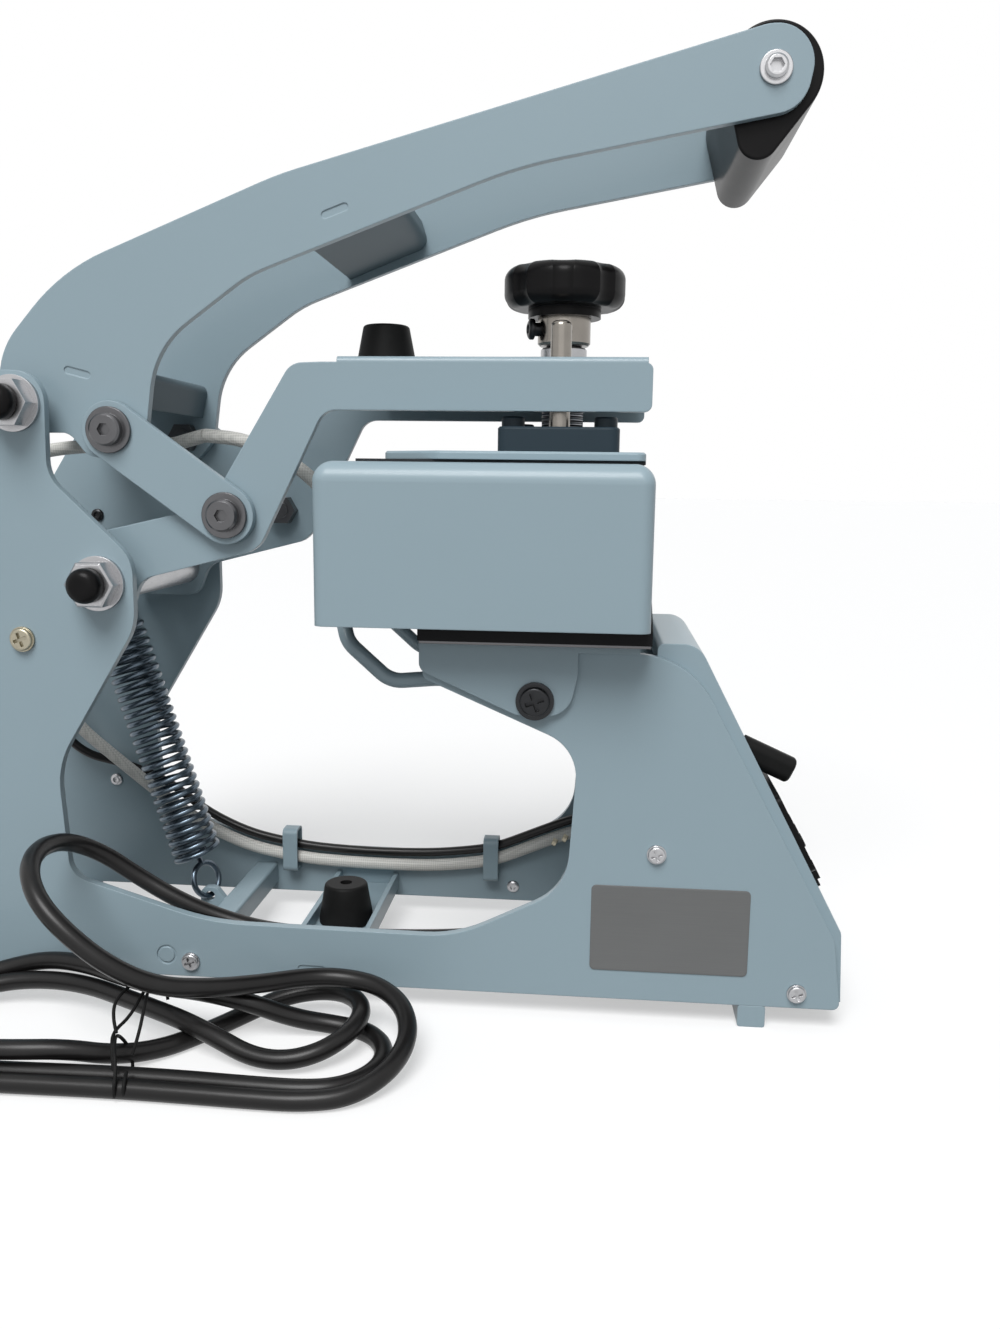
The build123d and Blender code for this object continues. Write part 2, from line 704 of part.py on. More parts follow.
# ----------------------------------------------------------------------- links
link_dir = math.degrees(math.atan2(LINK_LOW[1] - LINK_TOP[1], LINK_LOW[0] - LINK_TOP[0]))
link_len = math.dist(LINK_TOP, LINK_LOW)
link_mid = ((LINK_TOP[0] + LINK_LOW[0]) / 2, (LINK_TOP[1] + LINK_LOW[1]) / 2)
with BuildPart() as links:
    with BuildSketch(side(-LINK_IN)):
        with Locations(Location((*link_mid, 0), (0, 0, link_dir))):
            SlotCenterToCenter(link_len, LINK_W)
        with Locations(LINK_TOP):
            Circle(SHOULDER_R + RUN, mode=Mode.SUBTRACT)
        with Locations(LINK_LOW):
            Circle(SHOULDER_R + LINK_PLAY, mode=Mode.SUBTRACT)
    extrude(amount=PLATE_T)
    mirror(about=Plane.YZ)
finish(links.part, "toggle_links")

BOLT_WASHER_R = 10.0
BOLT_WASHER_T = 1.5


def shoulder_bolts(centre, name):
    """Shoulder bolt from inside the plate, through the link, with its nut."""
    with BuildPart() as bolts:
        add(socket_bolt(centre, LINK_OUT + GAP, 7.0, 4.2, BOLT_WASHER_R, BOLT_WASHER_T))
        with BuildSketch(side(-ARM_IN + 8)):
            with Locations(centre):
                Circle(SHOULDER_R)
        extrude(amount=LINK_OUT + GAP - ARM_IN + 8)
        with BuildSketch(side(-ARM_IN + 7)):
            with Locations(centre):
                RegularPolygon(6.5, 6, major_radius=False)
        extrude(amount=7 - SEAT)
        with BuildSketch(side(-ARM_OUT - 0.05)):
            with Locations(centre):
                Circle(BOLT_WASHER_R)
        extrude(amount=LINK_IN - ARM_OUT - 0.15)
        mirror(about=Plane.YZ)
    finish(bolts.part, name)


shoulder_bolts(LINK_TOP, "upper_link_bolts")
shoulder_bolts(LINK_LOW, "lower_link_bolts")

# ---------------------------------------------------------------------- spring
spring_du = SPRING_TOP[0] - SPRING_LOW[0]
spring_dz = SPRING_TOP[1] - SPRING_LOW[1]
spring_len = math.hypot(spring_du, spring_dz)
coil_start = (spring_len - COIL_LEN) / 2
spring_plane = Plane(
    origin=space(0, *SPRING_LOW),
    x_dir=(1, 0, 0),
    z_dir=(0, -spring_du / spring_len, spring_dz / spring_len),
)
HOOK_R = 3.9


def end_hook(ring_z, ring_turn):
    """Wire from the last coil to a ring on the spring's axis (in the spring's own frame)."""
    with BuildPart() as wire:
        with BuildLine() as path:
            FilletPolyline(
                (SPRING_R, 0, coil_start + COIL_LEN),
                (SPRING_R * 0.3, 0, COIL_LEN + coil_start * 1.12),
                (0, 0, COIL_LEN + coil_start * 1.3),
                (0, 0, ring_z - HOOK_R - WIRE_R / 2),
                radius=[2.0, 2.0],
            )
        with BuildSketch(Plane(origin=path.line @ 0, z_dir=path.line % 0)):
            Circle(WIRE_R)
        sweep(path=path.line)
        with Locations(Location((0, 0, ring_z), ring_turn)):
            Torus(HOOK_R, WIRE_R)
    return wire.part


with BuildPart() as coil_body:
    with BuildLine(mode=Mode.PRIVATE):
        coil = Helix(COIL_LEN / SPRING_TURNS, COIL_LEN, SPRING_R, center=(0, 0, coil_start))
    with BuildSketch(Plane(origin=coil @ 0, z_dir=coil % 0)):
        Circle(WIRE_R)
    sweep(path=coil, is_frenet=True)
top_hook = end_hook(spring_len, (0, 90, 0))
low_hook = Location((0, 0, spring_len), (180, 0, 0)) * end_hook(spring_len - HOOK_R, (90, 0, 0))
spring = Compound([*coil_body.part.solids(), *top_hook.solids(), *low_hook.solids()])
finish(spring_plane.location * spring, "return_spring")

# ------------------------------------------------------ saddle and lower platen
with BuildPart() as saddle:
    with BuildSketch(side(-BASE_OUT - SEAT)):
        add(
            outline(
                [
                    (SADDLE_U[0], SADDLE_TOP_Z, 0.5), (SADDLE_U[0], SADDLE_TOP_Z - 12, 5),
                    (184, SADDLE_TOP_Z - 30.5, 9), (206, SADDLE_TOP_Z - 31, 12),
                    (210, SADDLE_TOP_Z - 13, 20), (210, SADDLE_TOP_Z, 0.5),
                ]
            )
        )
        with Locations(SADDLE_SCREW):
            Circle(3.0 + RUN, mode=Mode.SUBTRACT)
    extrude(amount=SADDLE_T)
    mirror(about=Plane.YZ)
    with BuildSketch(level(SADDLE_TOP_Z - SADDLE_T)):
        with Locations((sum(SADDLE_U) / 2, 0)):
            Rectangle(SADDLE_U[1] - SADDLE_U[0], 2 * (BASE_OUT + SEAT + SADDLE_T))
    extrude(amount=SADDLE_T)
finish(saddle.part, "platen_saddle")


def phillips_screw(centre, x_face, washer_r, head_r, height):
    """Cross-recess head with a washer flange on the outer face at x_face (left side)."""
    with BuildPart() as screw:
        with BuildSketch(side(-x_face)):
            with Locations(centre):
                Circle(washer_r)
        extrude(amount=height * 0.4)
        with BuildSketch(side(-x_face - height * 0.4)):
            with Locations(centre):
                Circle(head_r)
        extrude(amount=height * 0.6)
        fillet(screw.edges().group_by(Axis.X)[0], height * 0.35)
        with BuildSketch(side(-x_face - height * 0.45)):
            with Locations(Location((*centre, 0), (0, 0, 20))):
                Rectangle(head_r * 1.3, head_r * 0.3)
                Rectangle(head_r * 0.3, head_r * 1.3)
        extrude(amount=height, mode=Mode.SUBTRACT)
    return screw.part


with BuildPart() as saddle_screws:
    add(phillips_screw(SADDLE_SCREW, BASE_OUT + SADDLE_T + 2 * SEAT, 8.2, 6.4, 3.8))
    with BuildSketch(side(-BASE_OUT - SADDLE_T - 2 * SEAT)):
        with Locations(SADDLE_SCREW):
            Circle(3.0)
    extrude(amount=-SADDLE_T)
    mirror(about=Plane.YZ)
finish(saddle_screws.part, "saddle_screws")

platen_r = PAD_R - PAD_T - SEAT
PLATEN_FOOT_T = 4.0
RIB_T = 5.0
with BuildPart() as lower_platen:
    add(arch(platen_r - PLATEN_T, platen_r, PLATEN_HALF, PLATEN_U))
    with BuildSketch(level(SADDLE_TOP_Z + SEAT)):
        with Locations(((PLATEN_U[0] + PLATEN_U[1]) / 2, 0)):
            Rectangle(PLATEN_U[1] - PLATEN_U[0] - 8, 84)
    extrude(amount=PLATEN_FOOT_T)
    for rib_u in (PLATEN_U[0] + 8, sum(PLATEN_U) / 2, PLATEN_U[1] - 8):
        with BuildSketch(cross(rib_u - RIB_T / 2)):
            with Locations((0, CURVE_Z)):
                Circle(platen_r - 1)
            with Locations((0, SADDLE_TOP_Z + SEAT + 50)):
                Rectangle(84, 100, mode=Mode.INTERSECT)
        extrude(amount=RIB_T)
finish(lower_platen.part, "lower_platen")

pad = arch(PAD_R - PAD_T, PAD_R, PLATEN_HALF + 1, (PLATEN_U[0] - 0.5, PLATEN_U[1] + 0.5))
finish(pad, "silicone_pad")

# ---------------------------------------------------------------- tension hoop
hoop_points = [
    (-HOOP_X, HOOP_PIVOT[0] - HOOP_TUBE_R + 1, HOOP_PIVOT[1]),
    (-HOOP_X, 148, 151),
    (-HOOP_X, 127, 149),
    (-HOOP_X, 108, 166),
    (-HOOP_X * 0.8, 103, 178),
    (0, 100, 188),
]
mirrored = [(-x, u, z) for x, u, z in hoop_points[-2::-1]]
with BuildPart() as hoop:
    with BuildLine() as hoop_path:
        FilletPolyline(
            *[space(*p) for p in hoop_points + mirrored],
            radius=[60, 13, 11, 9, 90, 9, 11, 13, 60],
        )
    with BuildSketch(Plane(origin=hoop_path.line @ 0, z_dir=hoop_path.line % 0)):
        Circle(HOOP_R)
    sweep(path=hoop_path.line)
    with BuildSketch(side(HOOP_X + HOOP_R + 0.5)):
        with Locations(HOOP_PIVOT):
            Circle(HOOP_TUBE_R)
            Circle(HOOP_SHAFT_R + RUN, mode=Mode.SUBTRACT)
    extrude(amount=2 * (HOOP_X + HOOP_R + 0.5))
    with BuildSketch(side(HOOP_X + HOOP_R + 0.5)):
        with Locations(HOOP_PIVOT):
            Circle(HOOP_SHAFT_R + RUN)
    extrude(amount=2 * (HOOP_X + HOOP_R + 0.5), mode=Mode.SUBTRACT)

lever_a = math.radians(LEVER_ANGLE)
lever_dir = (math.cos(lever_a), -math.sin(lever_a))


def along_lever(distance):
    """(u, z) at a distance from the hoop pivot along the lever."""
    return (HOOP_PIVOT[0] + distance * lever_dir[0], HOOP_PIVOT[1] + distance * lever_dir[1])


LEVER_T = 5.0
LEVER_GRIP_W = 10.0
LEVER_H = 8.0
with BuildPart() as lever:
    add(hoop.part)
    with BuildSketch(side(LEVER_T / 2)):
        with Locations(Location((*along_lever(LEVER_LEN / 2 + 5.5), 0), (0, 0, -LEVER_ANGLE))):
            Rectangle(LEVER_LEN + 1, LEVER_H)
    extrude(amount=LEVER_T)
finish(lever.part, "tension_hoop")

lever_plane = Plane(
    origin=space(0, *along_lever(LEVER_LEN)),
    x_dir=(1, 0, 0),
    z_dir=(0, -lever_dir[0], lever_dir[1]),
)
with BuildPart() as lever_grip:
    with BuildSketch(lever_plane):
        RectangleRounded(LEVER_GRIP_W, 2 * LEVER_GRIP_R, LEVER_GRIP_W / 2 - 0.5)
    extrude(amount=GRIP_LEN)
    tip = lever_grip.faces().sort_by(Axis((0, 0, 0), tuple(lever_plane.z_dir)))[-1]
    fillet(tip.edges(), 2.0)
    with BuildSketch(lever_plane):
        Rectangle(LEVER_T + 0.2, LEVER_H + 0.2)
    extrude(amount=6.2, mode=Mode.SUBTRACT)
finish(lever_grip.part, "lever_grip")

# ------------------------------------------------------------------ tower front
COVER_TOP = (255.0, 181.0)   # distances down the sloping face start here
COVER_LOW = (327.5, 44.0)
COVER_EDGE_Z = 170.0         # top of the folded cover
COVER_REAR_U = 243.5
COVER_LIP = 10.0
COVER_RIM = 16.0             # depth of its side flanges, inside the plates
slope_len = math.dist(COVER_TOP, COVER_LOW)
slope_dir = ((COVER_LOW[0] - COVER_TOP[0]) / slope_len, (COVER_LOW[1] - COVER_TOP[1]) / slope_len)
cover_corner_u = COVER_TOP[0] + (COVER_EDGE_Z - COVER_TOP[1]) * slope_dir[0] / slope_dir[1]
cover_line = [
    (COVER_REAR_U, COVER_EDGE_Z - COVER_LIP, 0), (COVER_REAR_U, COVER_EDGE_Z, 3),
    (cover_corner_u, COVER_EDGE_Z, 11), (*COVER_LOW, 6), (FRONT_U, FOOT_H + 2, 0),
]
rim_line = [(COVER_LOW[0] - COVER_RIM, FOOT_H + 2, 0), (COVER_LOW[0] - COVER_RIM, COVER_LOW[1] - 4, 0)]


def panel(distance, lift=0.0):
    """Plane on the sloping cover, a distance down it and a lift off its face."""
    u = COVER_TOP[0] + distance * slope_dir[0] - lift * slope_dir[1]
    z = COVER_TOP[1] + distance * slope_dir[1] + lift * slope_dir[0]
    return Plane(
        origin=space(0, u, z), x_dir=(1, 0, 0), z_dir=(0, slope_dir[1], slope_dir[0])
    )


SLOT_S = (46.0, 91.5)
BEZEL_S = 112.5
BEZEL_SIZE = (74.0, 39.0)
BEZEL_UP = 2.5
BEZEL_DEPTH = 14.0
SWITCH_S = 142.5
SWITCH_SIZE = (21.0, 15.0)
with BuildPart() as front_cover:
    with BuildSketch(side(COVER_HALF)):
        add(strip(cover_line, COVER_T))
    extrude(amount=2 * COVER_HALF)
    with BuildSketch(side(-COVER_HALF + COVER_T)):
        with BuildLine():
            rim = FilletPolyline(
                *[(u, z) for u, z, r in cover_line], radius=[r for u, z, r in cover_line[1:-1]]
            )
            Polyline(rim @ 1, *[(u, z) for u, z, r in rim_line], rim @ 0)
        make_face()
    extrude(amount=COVER_T)
    with BuildSketch(side(COVER_HALF)):
        with BuildLine():
            rim = FilletPolyline(
                *[(u, z) for u, z, r in cover_line], radius=[r for u, z, r in cover_line[1:-1]]
            )
            Polyline(rim @ 1, *[(u, z) for u, z, r in rim_line], rim @ 0)
        make_face()
    extrude(amount=COVER_T)
    with BuildSketch(panel(sum(SLOT_S) / 2, 5)):
        SlotOverall(SLOT_S[1] - SLOT_S[0], LEVER_GRIP_W + 3, rotation=90)
    extrude(amount=-20, mode=Mode.SUBTRACT)
    with BuildSketch(panel(BEZEL_S, 5)):
        Rectangle(BEZEL_SIZE[0] - 6, BEZEL_SIZE[1] - 6)
    extrude(amount=-20, mode=Mode.SUBTRACT)
    with BuildSketch(panel(SWITCH_S, 5)):
        Rectangle(SWITCH_SIZE[0] - 2, SWITCH_SIZE[1] - 2)
    extrude(amount=-20, mode=Mode.SUBTRACT)
finish(front_cover.part, "front_cover")

DISPLAY = (40.0, 15.0, 8.0)      # width, height, offset up the panel
BUTTON_R = 3.6
BUTTON_PITCH = 15.0
BUTTON_DROP = -11.0
BUTTON_X = [-BUTTON_PITCH, 0.0, BUTTON_PITCH]
with BuildPart() as bezel:
    with BuildSketch(panel(BEZEL_S, SEAT)):
        RectangleRounded(*BEZEL_SIZE, 4)
    extrude(amount=BEZEL_UP)
    with BuildSketch(panel(BEZEL_S, SEAT)):
        Rectangle(BEZEL_SIZE[0] - 7, BEZEL_SIZE[1] - 7)
    extrude(amount=-BEZEL_DEPTH)
    with BuildSketch(panel(BEZEL_S, BEZEL_UP + SEAT)):
        with Locations((0, DISPLAY[2])):
            RectangleRounded(DISPLAY[0], DISPLAY[1], 1)
    extrude(amount=-1.2, mode=Mode.SUBTRACT)
    with BuildSketch(panel(BEZEL_S, BEZEL_UP + SEAT)):
        with Locations(*[(x, BUTTON_DROP) for x in BUTTON_X]):
            Circle(BUTTON_R + GAP)
    extrude(amount=-5, mode=Mode.SUBTRACT)
finish(bezel.part, "controller_housing")

with BuildPart() as display:
    with BuildSketch(panel(BEZEL_S, BEZEL_UP + SEAT - 1.1)):
        with Locations((0, DISPLAY[2])):
            RectangleRounded(DISPLAY[0] - 0.2, DISPLAY[1] - 0.2, 0.9)
    extrude(amount=1.0)
finish(display.part, "display_window")

for name, x in zip(("set", "down", "up"), BUTTON_X):
    with BuildPart() as button:
        with BuildSketch(panel(BEZEL_S, BEZEL_UP + SEAT - 3.2)):
            with Locations((x, BUTTON_DROP)):
                Circle(BUTTON_R)
        extrude(amount=4.4)
        fillet(button.faces().sort_by(Axis((0, 0, 0), panel(0).z_dir))[-1].edges(), 0.8)
    finish(button.part, f"button_{name}")

ROCKER = (14.0, 10.0)
with BuildPart() as switch:
    with BuildSketch(panel(SWITCH_S, SEAT)):
        RectangleRounded(*SWITCH_SIZE, 1.5)
        Rectangle(ROCKER[0] + 0.8, ROCKER[1] + 0.8, mode=Mode.SUBTRACT)
    extrude(amount=1.8)
    with BuildSketch(panel(SWITCH_S, SEAT)):
        Rectangle(SWITCH_SIZE[0] - 3, SWITCH_SIZE[1] - 3)
        Rectangle(ROCKER[0] + 0.8, ROCKER[1] + 0.8, mode=Mode.SUBTRACT)
    extrude(amount=-7)
    with BuildSketch(panel(SWITCH_S, -6.9)):
        Rectangle(SWITCH_SIZE[0] - 3, SWITCH_SIZE[1] - 3)
    extrude(amount=-5)
finish(switch.part, "switch_body")

ROCKER_HALF = ROCKER[0] / 2
with BuildPart() as rocker:
    with BuildSketch(Plane(origin=panel(SWITCH_S, 0).origin, x_dir=(1, 0, 0),
                           z_dir=-panel(SWITCH_S).y_dir)):
        with BuildLine():
            Polyline((-ROCKER_HALF, 3.4), (-ROCKER_HALF, -1), (0, -4.5), (ROCKER_HALF, -1),
                     (ROCKER_HALF, 3.4))
            ThreePointArc((-ROCKER_HALF, 3.4), (0, 2.0), (ROCKER_HALF, 3.4))
        make_face()
    extrude(amount=ROCKER[1] / 2, both=True)
finish(rocker.part, "power_rocker")

with BuildPart() as board:
    with BuildSketch(panel(BEZEL_S, -BEZEL_DEPTH)):
        Rectangle(62, 40)
    extrude(amount=-1.6)
    for dx, dy, w, h, tall in ((-18, 8, 19, 15, 15), (10, 8, 22, 18, 17), (-14, -12, 26, 8, 9)):
        with BuildSketch(panel(BEZEL_S, -BEZEL_DEPTH - 1.5)):
            with Locations((dx, dy)):
                Rectangle(w, h)
        extrude(amount=-tall)
finish(board.part, "control_board")

REAR_PANEL_U = 213.0
CABLE_HOLE = (46.0, 57.5)
CORD_HOLE = (-40.0, 34.0)
with BuildPart() as rear_panel:
    with BuildSketch(side(COVER_HALF)):
        add(strip([(REAR_PANEL_U, 14, 0), (REAR_PANEL_U, 127, 4), (226, 133, 0)], COVER_T))
    extrude(amount=2 * COVER_HALF)
    with BuildSketch(cross(REAR_PANEL_U - 4)):
        with Locations(CABLE_HOLE):
            SlotOverall(23, 11, rotation=90)
        with Locations(CORD_HOLE):
            Circle(8.0)
    extrude(amount=10, mode=Mode.SUBTRACT)
finish(rear_panel.part, "tower_rear_panel")

# ----------------------------------------------------------------- side screws
with BuildPart() as side_screws:
    for centre in ((246, 78), (309, 17), (ANCHOR_U - 2.5, ANCHOR_Z - 2.5)):
        add(phillips_screw(centre, BASE_OUT + SEAT, PAN_R, PAN_R * 0.9, PAN_H))
    mirror(about=Plane.YZ)
finish(side_screws.part, "side_screws")

with BuildPart() as tie_screws:
    for centre in TIE_POINTS:
        add(phillips_screw(centre, BASE_OUT + SEAT, 5.6, 5.0, 3.0))
    mirror(about=Plane.YZ)
finish(tie_screws.part, "tie_bar_screws")


# ---------------------------------------------------------------------- cables
def bend_radii(points):
    """0.45 of the shorter run at each corner, over the tangent of half its turn."""
    radii = []
    for a, b, c in zip(points, points[1:], points[2:]):
        first, second = Vector(*b) - Vector(*a), Vector(*c) - Vector(*b)
        turn = math.radians(first.get_angle(second))
        radii.append(0.45 * min(first.length, second.length) / math.tan(turn / 2))
    return radii


def round_tube(points, radius, name):
    """A cable: straight runs joined by tangent arcs."""
    places = [Vector(*space(*p)) for p in points]
    radii = bend_radii([tuple(p) for p in places])
    with BuildPart() as tube:
        with BuildLine() as route:
            FilletPolyline(*places, radius=radii)
        with BuildSketch(Plane(origin=route.line @ 0, z_dir=route.line % 0)):
            Circle(radius)
        sweep(path=route.line)
    length = sum(edge.length for edge in route.edges())
    print(name, "length", round(length, 1), "smallest bend", round(min(radii), 1),
          "volume ratio", round(tube.part.volume / (math.pi * radius**2 * length), 4))
    finish(tube.part, name)


heater_fixed = [
    (46.0, 219.0, 56.0), (46.5, 204.0, 51.5), (47.0, 188.0, 44.5), (48.5, 165.0, 34.0), (49.2, 135.0, 29.5),
    (49.2, 100.0, 29.0), (49.0, 62.0, 30.5), (48.5, 30.0, 36.5), (47.5, 5.0, 48.0),
    (45.0, -18.0, 65.0), (42.0, -40.0, 84.5), (37.0, -60.0, 104.0), (30.0, -71.0, 128.0),
    (21.0, -76.0, 158.0), (14.0, -77.5, 190.0), (9.5, -76.0, 222.0), (8.6, -73.0, 232.0),
    (7.9, -68.5, 239.0),
]
heater_loop = [
    (7.85, -68.2, 239.5), (7.4, -65.4, 243.8), (6.9, -61.4, 247.0), (5.9, -54.0, 249.8),
    (4.5, -36.0, 252.8), (1.0, -8.0, 256.0),
    (-3.0, 14.0, 257.5), (-8.0, 32.0, 256.5),
]
heater_arm = [
    (-8.1, 32.4, 256.5), (-12.0, 50.0, 255.0), (-15.0, 68.0, 249.0), (-18.0, 85.0, 238.0),
    (-20.0, 100.5, 222.0),
]
sensor_fixed = [
    (46.5, 219.0, 63.5), (46.8, 204.0, 58.5), (47.5, 188.0, 51.5), (49.5, 165.0, 41.0), (50.5, 135.0, 36.5),
    (50.5, 100.0, 35.5), (49.8, 62.0, 37.5), (49.2, 30.0, 44.0), (49.3, 6.0, 55.0),
    (50.0, -16.0, 71.5), (50.0, -40.0, 80.5), (46.0, -62.0, 86.5), (40.0, -74.0, 104.0),
    (34.0, -78.0, 130.0), (28.0, -79.0, 160.0), (22.0, -78.0, 190.0), (18.0, -75.0, 218.0),
    (16.0, -67.5, 236.0),
]
round_tube(heater_fixed, HEATER_CABLE_R, "heater_cable")
round_tube(heater_loop, HEATER_CABLE_R, "heater_cable_loop")
round_tube(heater_arm, HEATER_CABLE_R, "heater_cable_arm")
round_tube(sensor_fixed, SENSOR_CABLE_R, "sensor_cable")

# ------------------------------------------------------------------ power cord
cord_points = [
    (-40.0, 197.0, 34.0), (-41.0, 180.0, 31.5), (-43.0, 158.0, 28.8), (-45.0, 128.0, 28.0),
    (-46.0, 98.0, 28.0), (-46.5, 70.0, 29.0), (-47.5, 48.0, 34.5), (-49.8, 27.0, 44.3),
    (-48.8, 7.4, 56.6), (-53.5, -6.1, 67.9), (-66.4, -16.0, 76.2), (-84.0, -19.6, 79.2),
    (-101.6, -16.0, 76.2), (-114.5, -6.1, 67.9), (-119.2, 7.4, 56.6), (-119.0, 24.4, 41.6),
    (-115.0, 45.4, 32.6), (-109.0, 67.4, 28.3), (-105.5, 81.4, 28.3),
]
round_tube(cord_points, CORD_R, "power_cord")

HANK_U = (-92.0, 150.0)
HANK_X = (-148.0, -62.0)
HANK_H = 24.0
with BuildPart() as hank:
    with BuildSketch(level(0)):
        with Locations(((HANK_U[0] + HANK_U[1]) / 2, (HANK_X[0] + HANK_X[1]) / 2)):
            RectangleRounded(HANK_U[1] - HANK_U[0], HANK_X[1] - HANK_X[0], 30)
    extrude(amount=HANK_H)
    fillet(hank.edges().group_by(Axis.Z)[-1], 9)
    fillet(hank.edges().group_by(Axis.Z)[0], 4)
finish(hank.part, "cord_hank")

PLUG_X = (HANK_X[0] + HANK_X[1]) / 2
PLUG_U = HANK_U[0] - SEAT
BLADE_X = 6.35             # half the spacing of the two flat blades
with BuildPart() as plug:
    with BuildSketch(cross(PLUG_U - 46)):
        with Locations((PLUG_X, 13)):
            RectangleRounded(26, 26, 8)
    extrude(amount=22)
    with BuildSketch(cross(PLUG_U - 24)):
        with Locations((PLUG_X, 13)):
            RectangleRounded(26, 26, 8)
    with BuildSketch(cross(PLUG_U)):
        with Locations((PLUG_X, 10)):
            Circle(5.5)
    loft()
    with BuildSketch(cross(PLUG_U - 46)):
        with Locations((PLUG_X - BLADE_X, 16), (PLUG_X + BLADE_X, 16)):
            Rectangle(1.5, 6.3)
    extrude(amount=-17)
    with BuildSketch(cross(PLUG_U - 46)):
        with Locations((PLUG_X, 5.5)):
            Circle(2.4)
    extrude(amount=-20)
finish(plug.part, "power_plug")

RELIEF_U = (198.0, 216.0)
with BuildPart() as clips:
    with BuildSketch(cross(RELIEF_U[0])):
        with Locations(CORD_HOLE):
            Circle(5.6)
    with BuildSketch(cross(RELIEF_U[1])):
        with Locations(CORD_HOLE):
            Circle(7.2)
    loft()
    for clip_u, clip_z in ((50.0, 36.5), (160.0, 35.5)):
        with BuildSketch(cross(clip_u)):
            with Locations((BASE_IN - SEAT - 5.4, clip_z)):
                RectangleRounded(10.8, 24, 3)
                RectangleRounded(8.4, 21.6, 2, mode=Mode.SUBTRACT)
        extrude(amount=8)
finish(clips.part, "clips_and_strain_relief")
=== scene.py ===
import json
import math

import bpy
from mathutils import Matrix, Vector


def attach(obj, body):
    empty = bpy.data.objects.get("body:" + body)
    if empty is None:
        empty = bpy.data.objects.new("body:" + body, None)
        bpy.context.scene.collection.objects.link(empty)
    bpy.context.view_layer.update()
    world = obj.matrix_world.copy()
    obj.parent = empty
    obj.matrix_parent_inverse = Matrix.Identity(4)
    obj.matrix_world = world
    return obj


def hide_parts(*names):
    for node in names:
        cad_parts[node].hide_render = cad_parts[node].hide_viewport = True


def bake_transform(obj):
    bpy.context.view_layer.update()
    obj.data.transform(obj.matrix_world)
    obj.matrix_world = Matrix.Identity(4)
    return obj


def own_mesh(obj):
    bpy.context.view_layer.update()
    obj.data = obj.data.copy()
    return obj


bl_info = {
    "name": "Cap Heat Press",
    "version": (1, 0, 0),
    "blender": (4, 5, 0),
    "location": "3D View > Sidebar > Heat Press",
    "description": "Finishes, cord, spring and small fittings for a swing-arm cap heat press",
    "category": "Object",
}

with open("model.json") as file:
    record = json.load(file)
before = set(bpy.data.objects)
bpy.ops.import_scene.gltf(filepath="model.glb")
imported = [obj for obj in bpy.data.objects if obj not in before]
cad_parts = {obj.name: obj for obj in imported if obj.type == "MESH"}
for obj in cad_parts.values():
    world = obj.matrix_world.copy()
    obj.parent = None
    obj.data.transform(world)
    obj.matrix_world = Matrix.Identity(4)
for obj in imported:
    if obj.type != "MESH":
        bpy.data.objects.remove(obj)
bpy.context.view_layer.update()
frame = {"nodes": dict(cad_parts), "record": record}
NODES = frame["nodes"]

# Capital names below are in millimetres and degrees, unless their comment says otherwise.
# Places are (x, u, z): x to the right, u towards the front of the press, z up.
MM = 0.001
MID_U = 121.5              # u of the machine's middle
NEAR_FACE = -57.5          # x of the left side plate's outer face
FAR_FACE = 53.5            # x of the right side plate's inner face


def at(x, u, z):
    """A point of the frame in metres, from its place in millimetres."""
    return Vector((x * MM, (MID_U - u) * MM, z * MM))


# ------------------------------------------------------------------ settings
class PaintSettings(bpy.types.PropertyGroup):
    """Paints and plastic of the press, and how its edges look."""

    paint: bpy.props.FloatVectorProperty(
        name="Frame paint", description="Powder coat of the frame, arm, handle and head",
        subtype="COLOR", size=3, min=0.0, max=1.0, default=(0.262, 0.345, 0.388))
    # the flange's own dark paint, darkened further with painted shade
    slate_and_shade: bpy.props.FloatVectorProperty(
        name="Flange paint and shade", description="Dark paint of the spindle flange and its screws",
        subtype="COLOR", size=3, min=0.0, max=1.0, default=(0.022, 0.036, 0.047))
    plastic: bpy.props.FloatVectorProperty(
        name="Black plastic", description="Knob, grip and panel plastic",
        subtype="COLOR", size=3, min=0.0, max=1.0, default=(0.0055, 0.0052, 0.0055))
    peel: bpy.props.FloatProperty(
        name="Orange peel", description="Height of the powder coat's ripple",
        subtype="DISTANCE", default=0.00004, min=0.0, max=0.001)
    edge: bpy.props.FloatProperty(
        name="Edge break", description="Radius by which sheet edges look rounded",
        subtype="DISTANCE", default=0.0007, min=0.0, max=0.003)


class CordSettings(bpy.types.PropertyGroup):
    """The power cord, its strain relief and its tie."""

    diameter: bpy.props.FloatProperty(
        name="Cord diameter", description="Outside diameter of the power cord",
        subtype="DISTANCE", default=0.008, min=0.004, max=0.012)
    length: bpy.props.FloatProperty(
        name="Cord length", description="Length of the power cord along its line",
        subtype="DISTANCE", default=1.75, min=0.5, max=3.0)
    relief: bpy.props.FloatProperty(
        name="Relief length", description="Ribbed tail of the cord's strain relief",
        subtype="DISTANCE", default=0.024, min=0.01, max=0.05)
    tie_wire: bpy.props.FloatProperty(
        name="Tie wire", description="Radius of the coated wire that ties the hank",
        subtype="DISTANCE", default=0.0007, min=0.0003, max=0.002)
    jacket: bpy.props.FloatVectorProperty(
        name="Jacket colour", description="Colour of the power cord's jacket",
        subtype="COLOR", size=3, min=0.0, max=1.0, default=(0.0065, 0.006, 0.006))


